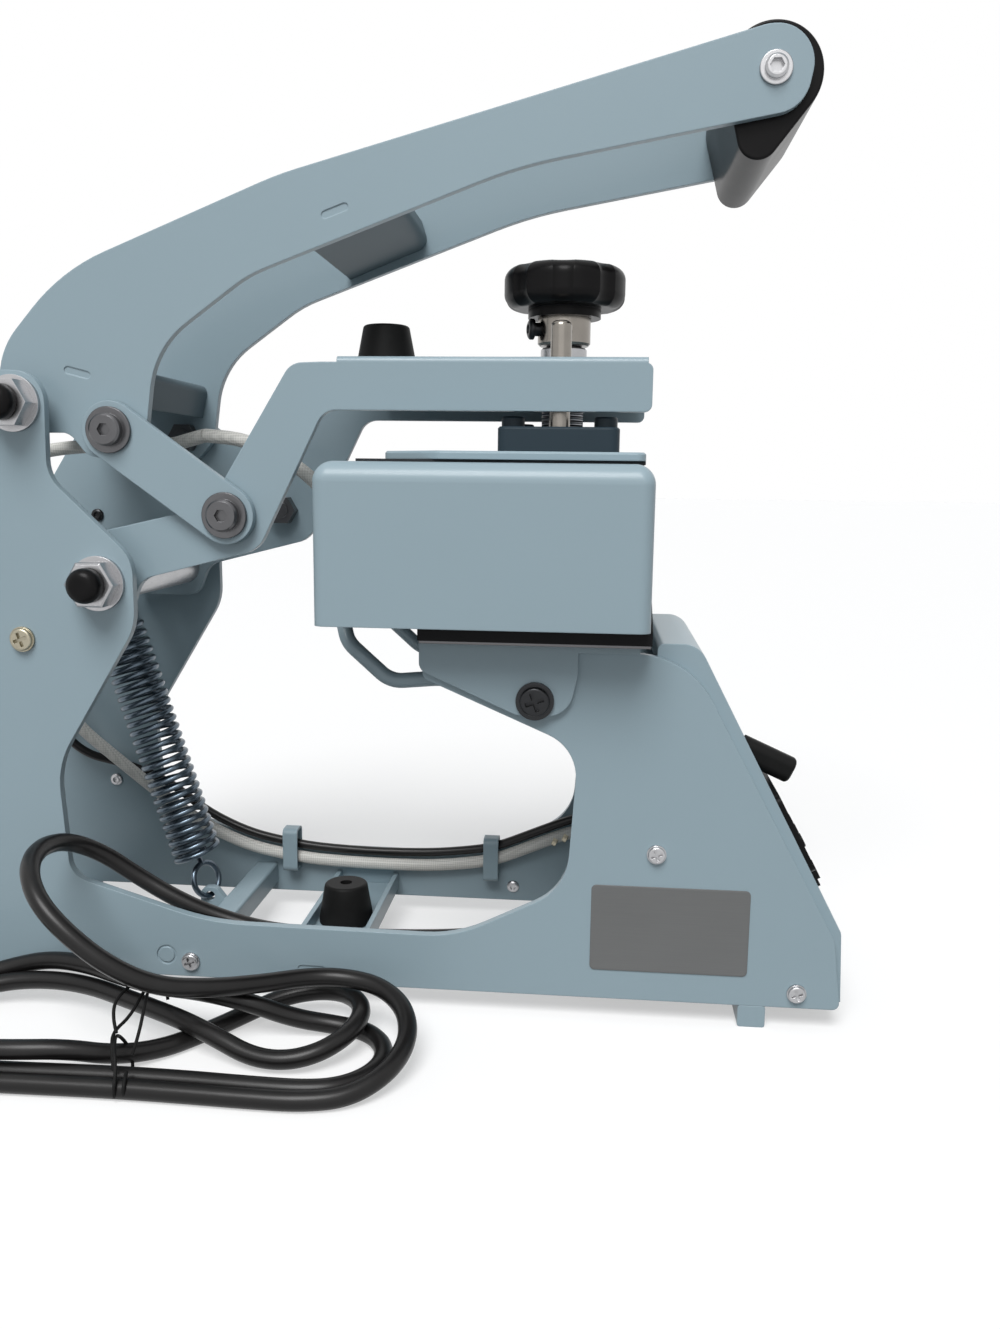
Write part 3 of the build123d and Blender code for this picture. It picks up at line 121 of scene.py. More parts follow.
class SpringSettings(bpy.types.PropertyGroup):
    """The return spring's coils and wire."""

    coil_radius: bpy.props.FloatProperty(
        name="Coil radius", description="Mean radius of the return spring's coils",
        subtype="DISTANCE", default=0.01075, min=0.004, max=0.02)
    wire_radius: bpy.props.FloatProperty(
        name="Wire radius", description="Radius of the spring wire",
        subtype="DISTANCE", default=0.00145, min=0.0005, max=0.003)
    turns: bpy.props.IntProperty(
        name="Turns", description="Number of coils in the spring's body",
        default=27, min=4, max=60)
    body_length: bpy.props.FloatProperty(
        name="Coiled length", description="Length of the coiled part at rest",
        subtype="DISTANCE", default=0.122, min=0.02, max=0.2)


class PlateSettings(bpy.types.PropertyGroup):
    """The blank data plate on the tower."""

    width: bpy.props.FloatProperty(
        name="Plate width", description="Width of the blank data plate",
        subtype="DISTANCE", default=0.069, min=0.01, max=0.1)
    height: bpy.props.FloatProperty(
        name="Plate height", description="Height of the blank data plate",
        subtype="DISTANCE", default=0.0395, min=0.01, max=0.1)
    corner: bpy.props.FloatProperty(
        name="Corner radius", description="Radius of the data plate's corners",
        subtype="DISTANCE", default=0.0022, min=0.0, max=0.01)
    foil: bpy.props.FloatVectorProperty(
        name="Foil colour", description="Colour of the brushed data plate",
        subtype="COLOR", size=3, min=0.0, max=1.0, default=(0.135, 0.138, 0.138))


class StageSettings(bpy.types.PropertyGroup):
    """The bench top and the lamps."""

    floor: bpy.props.FloatVectorProperty(
        name="Floor colour", description="Colour of the bench top",
        subtype="COLOR", size=3, min=0.0, max=1.0, default=(0.96, 0.96, 0.96))
    key: bpy.props.FloatProperty(
        name="Key light", description="Strength of the high sun on the left",
        default=2.6, min=0.0, max=20.0)
    fill: bpy.props.FloatProperty(
        name="Fill light", description="Strength of the low, soft sun on the left",
        default=0.3, min=0.0, max=20.0)
    lift: bpy.props.FloatProperty(
        name="Top light", description="Power of the panel lamp above the handle, in watts",
        default=1.9, min=0.0, max=50.0)
    ambient: bpy.props.FloatProperty(
        name="Ambient", description="Strength of the even light from all round",
        default=0.33, min=0.0, max=3.0)


# ------------------------------------------------------------ shader building
class Signal:
    """A socket that can be used in sums."""

    def __init__(self, network, socket):
        self.network = network
        self.socket = socket

    def _math(self, operation, first, second):
        return self.network.add("ShaderNodeMath", {"operation": operation}, {0: first, 1: second})

    def __add__(self, other):
        return self._math("ADD", self, other)

    __radd__ = __add__

    def __rsub__(self, other):
        return self._math("SUBTRACT", other, self)

    def __mul__(self, other):
        return self._math("MULTIPLY", self, other)

    __rmul__ = __mul__

    def __gt__(self, other):
        return self._math("GREATER_THAN", self, other)

    def largest(self, other):
        return self._math("MAXIMUM", self, other)


class Network:
    """A node tree, emptied, and the means to fill it."""

    def __init__(self, tree):
        self.tree = tree
        tree.nodes.clear()

    def add(self, kind, settings=None, sockets=None, out=0):
        """One node: its settings first, then the values or links of its sockets."""
        node = self.tree.nodes.new(kind)
        for key, value in (settings or {}).items():
            if key == "stops":
                self._stops(node, value)
            else:
                setattr(node, key, value)
        for key, value in (sockets or {}).items():
            self.feed(node.inputs[key], value)
        return Signal(self, node.outputs[out])

    def _stops(self, node, stops):
        """Place and grey of each stop of a colour ramp."""
        ramp = node.color_ramp.elements
        while len(ramp) < len(stops):
            ramp.new(0.5)
        for element, (place, shade) in zip(ramp, stops):
            element.position = place
            element.color = (shade, shade, shade, 1.0)

    def feed(self, socket, value):
        """Link a signal to a socket, or set the socket's own value."""
        if isinstance(value, Signal):
            self.tree.links.new(value.socket, socket)
        elif hasattr(value, "__len__") and len(value) == 3 and socket.type == "RGBA":
            socket.default_value = (*value, 1.0)
        else:
            socket.default_value = value


class Recipe(Network):
    """The material of one finish."""

    def __init__(self, name):
        self.material = bpy.data.materials.new(name)
        self.material.use_nodes = True
        super().__init__(self.material.node_tree)
        self.shader = self.tree.nodes.new("ShaderNodeBsdfPrincipled")
        self.output = self.tree.nodes.new("ShaderNodeOutputMaterial")
        self.tree.links.new(self.shader.outputs[0], self.output.inputs["Surface"])

    def set(self, **values):
        """Sockets of the Principled shader, by their names with underscores."""
        for key, value in values.items():
            self.feed(self.shader.inputs[key.replace("_", " ")], value)

    def place(self):
        """Object coordinates, in metres."""
        return self.add("ShaderNodeTexCoord", out="Object")

    def along(self, axis):
        """Object coordinate along X, Y or Z, in metres."""
        return self.add("ShaderNodeSeparateXYZ", {}, {"Vector": self.place()}, out=axis)

    def stretched(self, scale):
        """Object coordinates times a scale for each axis."""
        return self.add("ShaderNodeMapping", {"vector_type": "POINT"},
                        {"Vector": self.place(), "Scale": scale})

    def noise(self, scale, detail=2.0, roughness=0.5, vector=None):
        sockets = {"Scale": scale, "Detail": detail, "Roughness": roughness,
                   "Vector": vector or self.place()}
        return self.add("ShaderNodeTexNoise", {}, sockets)

    def waves(self, axis, scale, distortion=0.0):
        return self.add("ShaderNodeTexWave", {"wave_type": "BANDS", "bands_direction": axis},
                        {"Vector": self.place(), "Scale": scale, "Distortion": distortion})

    def mix(self, factor, first, second):
        return self.add("ShaderNodeMix", {"data_type": "RGBA"},
                        {0: factor, 6: first, 7: second}, out=2)

    def ramp(self, value, *stops):
        return self.add("ShaderNodeValToRGB", {"stops": stops}, {"Fac": value})

    def rounded(self, radius):
        """Normal of the surface, with its edges rounded to a radius."""
        return self.add("ShaderNodeBevel", {"samples": 4}, {"Radius": radius})

    def bump(self, height, strength, distance, edge=0.0):
        """Relief of a height, over edges rounded to a radius."""
        sockets = {"Strength": strength, "Distance": distance, "Height": height}
        if edge:
            sockets["Normal"] = self.rounded(edge)
        return self.add("ShaderNodeBump", {}, sockets)

    def edges(self, radius):
        """1 on sharp edges and 0 on flat faces: the mask of the painted edge highlights."""
        flat = self.add("ShaderNodeNewGeometry", out="Normal")
        agree = self.add("ShaderNodeVectorMath", {"operation": "DOT_PRODUCT"},
                         {0: self.rounded(radius), 1: flat}, out="Value")
        return self.ramp(1.0 - agree, (0.004, 0.0), (0.12, 1.0))


WAVE_REPEAT = math.pi / 10  # length of one wave of the wave texture at scale 1
BRUSHED_PLATE = (90.0, 40.0, 5200.0)    # scale of the grain along X, Y and Z
TURNED_STEEL = (300.0, 4200.0, 4200.0)


def shades(colour, factor):
    """A colour made darker or lighter."""
    return tuple(min(1.0, c * factor) for c in colour)


def dusted(colour, amount):
    """A colour with some white added."""
    return tuple(c + amount for c in colour)


def coated(paint, colour, peel, edge):
    """Base colour and relief of powder coat: ripple, cloudiness, painted highlights on the edges.
    """
    cloud = paint.noise(9.0, 3.0)
    speck = paint.noise(2600.0, 1.0)
    base = paint.mix(cloud, shades(colour, 0.965), shades(colour, 1.03))
    base = paint.mix(paint.ramp(speck, (0.66, 0.0), (0.74, 0.10)), base, shades(colour, 0.72))
    # lighter edges: painted highlight
    base = paint.mix(paint.edges(edge) * 0.4, base, shades(colour, 1.45))
    ripple = paint.noise(1100.0, 2.0, 0.45)
    return base, cloud, paint.bump(ripple, 0.3, peel, edge)


def powder_coat(name, colour, peel, edge, gloss=0.35):
    """Semi-gloss powder coat."""
    paint = Recipe(name)
    base, cloud, relief = coated(paint, colour, peel, edge)
    paint.set(Base_Color=base, Roughness=0.36 + cloud * 0.08, Specular_IOR_Level=gloss,
              Coat_Weight=gloss * 0.4, Coat_Roughness=0.1, Normal=relief)
    return paint.material


def painted_clips(name, colour, black, peel, edge):
    """Painted cable clips on the right plate, black strain relief on the left."""
    paint = Recipe(name)
    base, cloud, relief = coated(paint, colour, peel, edge)
    clip = paint.along("X") > 0.0
    paint.set(Base_Color=paint.mix(clip, black, base), Roughness=0.36 + cloud * 0.08,
              Specular_IOR_Level=0.3, Normal=relief)
    return paint.material


def plated_steel(name, colour, roughness=0.28):
    """Zinc plated steel: fine turning marks, cloudy passivation and painted highlights on the
    edges.
    """
    steel = Recipe(name)
    cloud = steel.noise(120.0, 4.0)
    marks = steel.noise(1.0, 2.0, vector=steel.stretched(TURNED_STEEL))
    base = steel.mix(cloud, shades(colour, 0.82), shades(colour, 1.1))
    # lighter edges: painted highlight
    base = steel.mix(steel.edges(0.0004) * 0.35, base, shades(colour, 1.35))
    steel.set(Base_Color=base, Metallic=1.0, Roughness=roughness - 0.06 + marks * 0.16,
              Normal=steel.bump(marks, 0.25, 0.00003, 0.0003))
    return steel.material


def screw_thread(name, colour, pitch):
    """Oiled steel screw: rings at the thread's pitch, with painted shade in their roots."""
    thread = Recipe(name)
    rings = thread.waves("Z", WAVE_REPEAT / pitch)
    oil = thread.noise(90.0, 3.0)
    # the thread's roots darkened: painted shade
    base = thread.mix(rings, shades(colour, 0.35), colour)
    thread.set(Base_Color=base, Metallic=1.0, Roughness=0.26 + oil * 0.12,
               Normal=thread.bump(rings, 0.9, 0.0006))
    return thread.material


def moulded_plastic(name, colour):
    """Injection moulded plastic with a fine spark-eroded grain and painted highlights on the
    edges.
    """
    plastic = Recipe(name)
    cells = plastic.add("ShaderNodeTexVoronoi", {"feature": "F1"},
                        {"Vector": plastic.place(), "Scale": 900.0})
    haze = plastic.noise(30.0, 3.0)
    base = plastic.mix(haze, shades(colour, 0.8), shades(colour, 1.4))
    # lighter edges: painted highlight
    base = plastic.mix(plastic.edges(0.0005) * 0.3, base, shades(colour, 3.0))
    plastic.set(Base_Color=base, Roughness=0.26 + haze * 0.1, Specular_IOR_Level=0.1,
                Normal=plastic.bump(cells, 0.15, 0.00004, 0.0005))
    return plastic.material


def moulded_rubber(name, colour, roughness=0.55):
    """Matte rubber with a dusty bloom."""
    rubber = Recipe(name)
    dust = rubber.noise(55.0, 5.0, 0.6)
    fine = rubber.noise(2400.0, 2.0)
    bloom = rubber.ramp(dust, (0.45, 0.0), (0.8, 0.3))
    rubber.set(Base_Color=rubber.mix(bloom, colour, dusted(colour, 0.02)),
               Roughness=roughness + dust * 0.12, Specular_IOR_Level=0.08,
               Normal=rubber.bump(fine, 0.2, 0.00005, 0.0004))
    return rubber.material


def smooth_jacket(name, colour):
    """Extruded cord jacket: glossy with shallow draw lines and rubbed patches."""
    jacket = Recipe(name)
    rub = jacket.noise(26.0, 4.0, 0.6)
    fine = jacket.noise(900.0, 2.0)
    rubbed = jacket.ramp(rub, (0.5, 0.0), (0.8, 0.5))
    jacket.set(Base_Color=jacket.mix(rubbed, colour, dusted(colour, 0.012)),
               Roughness=0.26 + rub * 0.14, Specular_IOR_Level=0.28,
               Normal=jacket.bump(fine, 0.12, 0.00004))
    return jacket.material


def glass_sleeve(name, colour):
    """Woven glass-fibre sleeving: crossed strands along the cable."""
    sleeve = Recipe(name)
    across, along, upwards = (sleeve.waves(axis, 260.0, 0.6) for axis in "XYZ")
    weave = across * 0.4 + along * 0.35 + upwards * 0.35
    soil = sleeve.noise(60.0, 3.0)
    strands = sleeve.ramp(weave, (0.25, 0.0), (0.8, 1.0))
    base = sleeve.mix(strands, shades(colour, 0.72), colour)
    base = sleeve.mix(soil * 0.25, base, shades(colour, 0.75))
    sleeve.set(Base_Color=base, Roughness=0.7, Sheen_Weight=0.25,
               Normal=sleeve.bump(weave, 0.7, 0.0002))
    return sleeve.material


def ceramic_wool(name, colour):
    """Compressed insulation board."""
    wool = Recipe(name)
    tufts = wool.noise(240.0, 6.0, 0.7)
    wool.set(Base_Color=wool.mix(tufts, shades(colour, 0.8), colour), Roughness=0.95,
             Normal=wool.bump(tufts, 0.7, 0.0006))
    return wool.material


def non_stick_coat(name, colour):
    """Dark fluoropolymer coat on the heating face: satin with a tight speckle."""
    coat = Recipe(name)
    speck = coat.noise(1900.0, 2.0)
    wear = coat.noise(40.0, 5.0)
    base = coat.mix(coat.ramp(speck, (0.6, 0.0), (0.7, 0.4)), colour, shades(colour, 2.2))
    coat.set(Base_Color=base, Roughness=0.42 + wear * 0.12,
             Normal=coat.bump(speck, 0.15, 0.00004, 0.0004))
    return coat.material


def cast_aluminium(name, colour):
    """Bare cast aluminium, lightly machined."""
    cast = Recipe(name)
    grain = cast.noise(700.0, 3.0)
    stain = cast.noise(45.0, 4.0)
    cast.set(Base_Color=cast.mix(stain, shades(colour, 0.8), colour), Metallic=1.0,
             Roughness=0.38 + stain * 0.14, Normal=cast.bump(grain, 0.3, 0.00008, 0.0004))
    return cast.material


def circuit_laminate(name, colour):
    """Printed board: solder mask with lighter copper tracks beneath."""
    board = Recipe(name)
    tracks = board.add("ShaderNodeTexBrick", {"offset": 0.5},
                       {"Vector": board.place(), "Scale": 320.0, "Color1": (0, 0, 0),
                        "Color2": (0.2, 0.2, 0.2), "Mortar": (1, 1, 1)}, out="Fac")
    haze = board.noise(80.0, 2.0)
    board.set(Base_Color=board.mix(tracks * 0.5, colour, shades(colour, 2.0)),
              Roughness=0.3 + haze * 0.1)
    return board.material


def dark_window(name, colour):
    """Smoked display window."""
    window = Recipe(name)
    smear = window.noise(60.0, 4.0)
    window.set(Base_Color=window.mix(smear, shades(colour, 0.8), shades(colour, 1.3)),
               Roughness=0.06 + smear * 0.08, Coat_Weight=0.6, Coat_Roughness=0.03)
    return window.material


def satin_plate(name, colour):
    """Brushed metal foil, blank, a little soiled, with painted highlights on the edges."""
    plate = Recipe(name)
    grain = plate.noise(1.0, 3.0, vector=plate.stretched(BRUSHED_PLATE))
    stain = plate.noise(50.0, 3.0)
    base = plate.mix(grain, shades(colour, 0.86), shades(colour, 1.1))
    # lighter edges: painted highlight
    base = plate.mix(plate.edges(0.0002) * 0.5, base, shades(colour, 1.6))
    plate.set(Base_Color=plate.mix(stain * 0.3, base, shades(colour, 0.8)),
              Metallic=0.35, Roughness=0.42 + stain * 0.1,
              Normal=plate.bump(grain, 0.18, 0.00002, 0.0002))
    return plate.material


# ------------------------------------------------------------- modelling aids
def deselect():
    """Leave edit mode and select nothing."""
    if bpy.context.object and bpy.context.object.mode != "OBJECT":
        bpy.ops.object.mode_set(mode="OBJECT")
    bpy.ops.object.select_all(action="DESELECT")


def only(obj):
    """Select one object and make it active."""
    deselect()
    obj.select_set(True)
    bpy.context.view_layer.objects.active = obj
    return obj


def settle(obj):
    """Put the object's place into its mesh."""
    only(obj)
    bpy.ops.object.transform_apply(location=True, rotation=True, scale=True)
    return obj


def pick_faces(obj, wanted):
    """In edit mode, select only the faces whose centre and normal are wanted."""
    bpy.ops.object.mode_set(mode="OBJECT")
    for vertex in obj.data.vertices:
        vertex.select = False
    for edge in obj.data.edges:
        edge.select = False
    for face in obj.data.polygons:
        face.select = wanted(face.center, face.normal)
    bpy.ops.object.mode_set(mode="EDIT")
    bpy.ops.mesh.select_mode(type="FACE")


def outward(obj):
    """Turn every face outwards."""
    only(obj)
    bpy.ops.object.mode_set(mode="EDIT")
    bpy.ops.mesh.select_all(action="SELECT")
    bpy.ops.mesh.normals_make_consistent(inside=False)
    bpy.ops.object.mode_set(mode="OBJECT")


def finish_piece(obj, name, material, body, smooth=35.0):
    """Name, paint, shade and seat a finished mesh piece."""
    settle(obj)
    obj.name = name
    obj.data.name = name
    obj.data.materials.clear()
    obj.data.materials.append(material)
    bpy.ops.object.shade_smooth_by_angle(angle=math.radians(smooth))
    if body:
        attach(obj, body)
    return obj


def apply_modifier(obj, kind, **settings):
    """Add one modifier and apply it."""
    only(obj)
    modifier = obj.modifiers.new(kind.title(), kind)
    for key, value in settings.items():
        setattr(modifier, key, value)
    bpy.ops.object.modifier_apply(modifier=modifier.name)


def soften(obj, width):
    """Bevel the sharp edges, by a width in millimetres."""
    apply_modifier(obj, "BEVEL", width=width * MM, segments=2, limit_method="ANGLE")


def join(objects):
    """Join several meshes into the first."""
    deselect()
    for obj in objects:
        obj.select_set(True)
    bpy.context.view_layer.objects.active = objects[0]
    bpy.ops.object.join()
    return objects[0]


def aim(origin, x_dir, z_dir):
    """Placement matrix from an origin, an x direction and a z direction."""
    z = Vector(z_dir).normalized()
    x = Vector(x_dir).normalized()
    y = z.cross(x)
    turn = Matrix((x, y, z)).transposed().to_4x4()
    return Matrix.Translation(Vector(origin)) @ turn


def curve_line(name, points, bevel=0.0, kind="NURBS", radii=None):
    """An open curve through its control points, as a round bar of radius bevel."""
    data = bpy.data.curves.new(name, "CURVE")
    data.dimensions = "3D"
    data.resolution_u = 12
    data.bevel_depth = bevel
    data.bevel_resolution = 5
    data.use_fill_caps = True
    spline = data.splines.new(kind)
    spline.points.add(len(points) - 1)
    for knot, point in zip(spline.points, points):
        knot.co = (*point, 1.0)
    for knot, radius in zip(spline.points, radii or ()):
        knot.radius = radius
    if kind == "NURBS":
        spline.order_u = 3
        spline.use_endpoint_u = True
    obj = bpy.data.objects.new(name, data)
    bpy.context.scene.collection.objects.link(obj)
    return obj


def to_mesh(obj):
    """Turn a curve into a mesh."""
    only(obj)
    bpy.ops.object.convert(target="MESH")
    return bpy.context.object


def centre_line(obj, reach):
    """The first points of a curve with no bevel, up to a distance along it."""
    sampled = bpy.data.meshes.new_from_object(obj)
    points = [vertex.co.copy() for vertex in sampled.vertices]
    bpy.data.meshes.remove(sampled)
    taken, run = [points[0]], 0.0
    for last, point in zip(points, points[1:]):
        run += (point - last).length
        if run > reach:
            break
        taken.append(point)
    return taken


# ------------------------------------------------------------------- operators
FINISHES = {}              # filled by the first operator
NODE_FINISHES = {          # nodes whose finish isn't the one of their material slot
    "spindle_flange": "slate_and_shade", "flange_screws": "slate_and_shade", "handle_braces": "brace_painted_shade",
    "lower_link_bolts": "bolt_steel", "upper_link_bolts": "bolt_steel",
    "saddle_screws": "dark_steel", "pressure_spindle": "thread",
    "clips_and_strain_relief": "clips", "guide_rods": "nickel", "knob_hub": "nickel",
    "lower_platen": "platen_edge",
}
BRACE_PAINTED_SHADE = 0.5          # tone of the braces' paint against the frame's: painted shade
SPINDLE_PITCH = 0.002      # of the pressure spindle's thread, in metres


class PRESS_OT_dress_frame(bpy.types.Operator):
    """Give every solid of the frame its finish"""

    bl_idname = "heat_press.dress_frame"
    bl_label = "Dress Frame"

    def execute(self, context):
        look = context.scene.press_paint
        paint, slate_and_shade, black = tuple(look.paint), tuple(look.slate_and_shade), tuple(look.plastic)
        FINISHES.update({
            "frame_paint": powder_coat("PowderCoat", paint, look.peel, look.edge),
            "black_plastic": moulded_plastic("BlackPlastic", black),
            "steel": plated_steel("ZincSteel", (0.44, 0.44, 0.45)),
            "brass": plated_steel("YellowZinc", (0.38, 0.35, 0.27), 0.34),
            "aluminium": cast_aluminium("CastAluminium", (0.66, 0.67, 0.68)),
            "heater_coat": non_stick_coat("NonStickCoat", (0.035, 0.035, 0.036)),
            "silicone": moulded_rubber("SiliconePad", (0.012, 0.012, 0.013), 0.42),
            "rubber": moulded_rubber("BlackRubber", (0.009, 0.009, 0.009), 0.42),
            "gasket": moulded_rubber("Gasket", (0.03, 0.032, 0.035)),
            "insulation": ceramic_wool("InsulationBoard", (0.75, 0.73, 0.68)),
            "cord": smooth_jacket("CordJacket", tuple(context.scene.press_cord.jacket)),
            "sleeve": glass_sleeve("GlassSleeve", (0.70, 0.69, 0.65)),
            "board": circuit_laminate("CircuitBoard", (0.02, 0.12, 0.05)),
            "window": dark_window("DisplayWindow", (0.012, 0.008, 0.009)),
            "spring": plated_steel("SpringWire", (0.105, 0.135, 0.165), 0.27),
            # dark paint of the flange and its screws, partly painted shade
            "slate_and_shade": powder_coat("SlatePaint", slate_and_shade, look.peel, look.edge, 0.14),
            # the handle braces get the frame paint darkened: painted shade
            "brace_painted_shade": powder_coat("BracePaint", shades(paint, BRACE_PAINTED_SHADE),
                                       look.peel, look.edge, 0.05),
            "bolt_steel": plated_steel("BoltSteel", (0.12, 0.12, 0.125), 0.3),
            "dark_steel": plated_steel("BlackenedSteel", (0.035, 0.036, 0.038), 0.3),
            "platen_edge": cast_aluminium("DullAluminium", (0.15, 0.15, 0.155)),
            "nickel": plated_steel("NickelSteel", (0.27, 0.25, 0.225), 0.22),
            "thread": screw_thread("OiledThread", (0.34, 0.35, 0.37), SPINDLE_PITCH),
            "clips": painted_clips("ClipPaint", paint, black, look.peel, look.edge),
            "foil": satin_plate("PlateFoil", tuple(context.scene.press_plate.foil)),
        })
        for part in frame["record"]["subparts"]:
            finish = NODE_FINISHES.get(part["node"], part["material_slot"])
            materials = NODES[part["node"]].data.materials
            materials.clear()
            materials.append(FINISHES[finish])
        return {"FINISHED"}


# the cord's line from the strain relief to the hank
CORD_ROUTE = [
    (-40.0, 197.0, 34.0), (-41.0, 180.0, 31.5), (-43.0, 158.0, 28.8), (-45.0, 128.0, 28.0),
    (-46.0, 98.0, 28.0), (-46.5, 70.0, 29.0), (-47.5, 48.0, 34.5), (-50.2, 28.0, 43.6),
    (-50.5, 9.0, 54.6), (-54.5, -5.6, 66.8), (-66.4, -16.0, 76.2), (-84.0, -19.6, 79.2),
    (-101.6, -16.0, 76.2), (-114.5, -6.1, 67.9), (-119.2, 7.4, 56.6), (-119.0, 24.4, 43.0),
    (-114.5, 43.0, 32.5),
]


LEVEL = 4.1                # z of a strand's line when it lies on the bench
FOLD_STEP = 30.0


def fold(x, u, radius, heights, from_left=False, towards_rear=False):
    """Points round one end of the hank, a fold step apart, one for each height."""
    across = -radius if from_left else radius
    along = -radius if towards_rear else radius
    turns = [math.radians(FOLD_STEP * step) for step in range(len(heights))]
    return [(x + across * math.cos(turn), u + along * math.sin(turn), z)
            for turn, z in zip(turns, heights)]


# the cord's line through the hank, strand after strand, to the plug
CORD_HANK = [
    (-104.0, 62.0, 28.0), (-90.0, 80.0, 24.5), (-78.0, 95.0, 22.5),
    *fold(-108.9, 111.0, 35.0, (21.5, 20.5, 17.5, 13.0, 8.5, 4.6, LEVEL)),
    (-143.8, 88.0, LEVEL), (-142.9, 60.0, LEVEL), (-142.6, 34.0, LEVEL), (-143.2, 8.0, LEVEL),
    (-143.8, -18.0, LEVEL),
    *fold(-105.1, -46.0, 38.9, (LEVEL, LEVEL, LEVEL, LEVEL, 5.5, 9.0, 14.5), True, True),
    (-67.0, -27.0, 19.5), (-73.0, -6.0, 20.9), (-83.0, 14.0, 20.9), (-91.0, 34.0, 21.2),
    (-93.5, 54.0, 21.2), (-92.0, 74.0, 16.5), (-87.5, 92.0, 8.0),
    *fold(-109.9, 110.0, 26.0, (LEVEL,) * 7),
    (-135.6, 88.0, LEVEL), (-134.4, 62.0, LEVEL), (-134.2, 36.0, LEVEL), (-134.9, 10.0, LEVEL),
    (-135.8, -16.0, LEVEL),
    *fold(-104.5, -42.0, 31.8, (LEVEL, LEVEL, LEVEL, LEVEL, 5.5, 8.0, 11.0), True, True),
    (-73.0, -22.0, 12.5), (-77.0, -3.0, 12.5), (-86.0, 16.0, 12.5), (-95.5, 34.0, 12.7),
    (-104.0, 50.0, 12.9), (-111.5, 66.0, 10.5), (-117.0, 82.0, 6.0),
    *fold(-92.1, 96.5, 26.3, (5.5, 7.8, 10.8, 12.9, 12.9, 12.0, 10.5), True),
    (-69.5, 81.0, 8.0), (-81.0, 67.0, 4.4), (-98.0, 55.0, LEVEL), (-112.0, 43.0, LEVEL),
    (-123.0, 28.0, 6.5), (-130.5, 11.0, 12.2), (-135.0, -8.0, 13.2), (-135.8, -30.0, 12.6),
    (-131.0, -50.0, 12.6), (-122.0, -66.0, 13.0), (-111.5, -77.5, 13.4), (-106.5, -85.5, 12.4),
    (-105.0, -92.2, 10.2),
]
RELIEF_R = (5.5, 4.35)     # radius of the relief's tail at its root and at its end
RELIEF_RIBS = 7
RIB_STEPS = 4              # points of the tail for each rib; the one halfway is the waist
RIB_WAIST = 0.87           # radius between two ribs, as a share of the rib's

# the wire's two turns round the hank, and its ends
TIE_WRAP = [
    (-139.5, 36.0, 0.9), (-147.0, 38.0, 1.2), (-147.0, 38.5, 8.0), (-143.0, 37.5, 10.0),
    (-139.0, 35.5, 17.2), (-128.0, 31.0, 18.6), (-121.0, 31.0, 12.6), (-117.5, 32.0, 6.0),
    (-121.5, 35.0, 1.0), (-131.0, 37.0, 0.9), (-143.0, 40.5, 0.9), (-147.0, 42.0, 4.2),
    (-146.0, 42.0, 8.8), (-140.0, 40.5, 9.6),
]
TIE_OVER = [
    (-139.5, 35.0, 9.5), (-136.0, 33.0, 17.9), (-127.5, 30.0, 19.2), (-118.0, 33.0, 21.0),
    (-106.0, 34.5, 27.5), (-94.0, 35.0, 26.8), (-88.0, 36.0, 21.0), (-90.5, 37.5, 14.8),
]
TIE_TAILS = (
    [(-128.0, 31.5, 19.0), (-123.0, 27.5, 24.0), (-115.0, 27.0, 29.0), (-107.0, 32.0, 31.5)],
    [(-130.0, 38.5, 10.8), (-126.0, 40.0, 18.5), (-117.0, 38.5, 24.5), (-106.0, 36.0, 27.8)],
)


class PRESS_OT_power_cord(bpy.types.Operator):
    """Lay the power cord from the tower to its tied hank and plug"""

    bl_idname = "heat_press.power_cord"
    bl_label = "Power Cord"

    def strain_relief(self, line):
        """Ribbed rubber tail, tapered along the start of the cord."""
        points, radii = [], []
        steps = RELIEF_RIBS * RIB_STEPS
        spans = [(b - a).length for a, b in zip(line, line[1:])]
        total = sum(spans)
        for step in range(steps + 1):
            reach = total * step / steps
            index = 0
            while index < len(spans) - 1 and reach > spans[index]:
                reach -= spans[index]
                index += 1
            points.append(line[index].lerp(line[index + 1], min(1.0, reach / spans[index])))
            taper = RELIEF_R[0] + (RELIEF_R[1] - RELIEF_R[0]) * step / steps
            waist = step % RIB_STEPS == RIB_STEPS // 2
            radii.append(taper * (RIB_WAIST if waist else 1.0))
        tail = to_mesh(curve_line("relief", points, MM, "POLY", radii))
        return finish_piece(tail, "strain_relief_tail", FINISHES["rubber"], None,
                            smooth=50.0)

    def wire_tie(self, settings):
        """Two turns of coated wire round the hank, and its twisted ends."""
        wires = [to_mesh(curve_line("wire", [at(*p) for p in run], settings.tie_wire))
                 for run in (TIE_WRAP, TIE_OVER, *TIE_TAILS)]
        return finish_piece(join(wires), "hank_tie", FINISHES["rubber"], None, 60.0)

    def execute(self, context):
        settings = context.scene.press_cord
        route = [at(*p) for p in CORD_ROUTE + CORD_HANK]
        cord = curve_line("power_cord_flex", route)
        tail = self.strain_relief(centre_line(cord, settings.relief))
        tie = self.wire_tie(settings)
        cord.data.bevel_depth = settings.diameter / 2
        cord.data.materials.append(FINISHES["cord"])
        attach(cord, "base")
        for piece in (tail, tie):
            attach(piece, "base")
        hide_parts("power_cord", "cord_hank")
        return {"FINISHED"}


SPRING_TOP = (-24.0, 184.0)         # (u, z) of the ring on the arm, at rest
SPRING_LOW = (25.0, 27.0)           # (u, z) of the bar that the low ring hooks on
TOP_RING_R = 3.9
LOW_RING_R = 8.4
LOW_RING_TURN = math.radians(-24)   # twist of the low ring about the spring, in radians
WIRE_SIDES = 12
COIL_STEPS = 22                     # segments of one turn of the coil


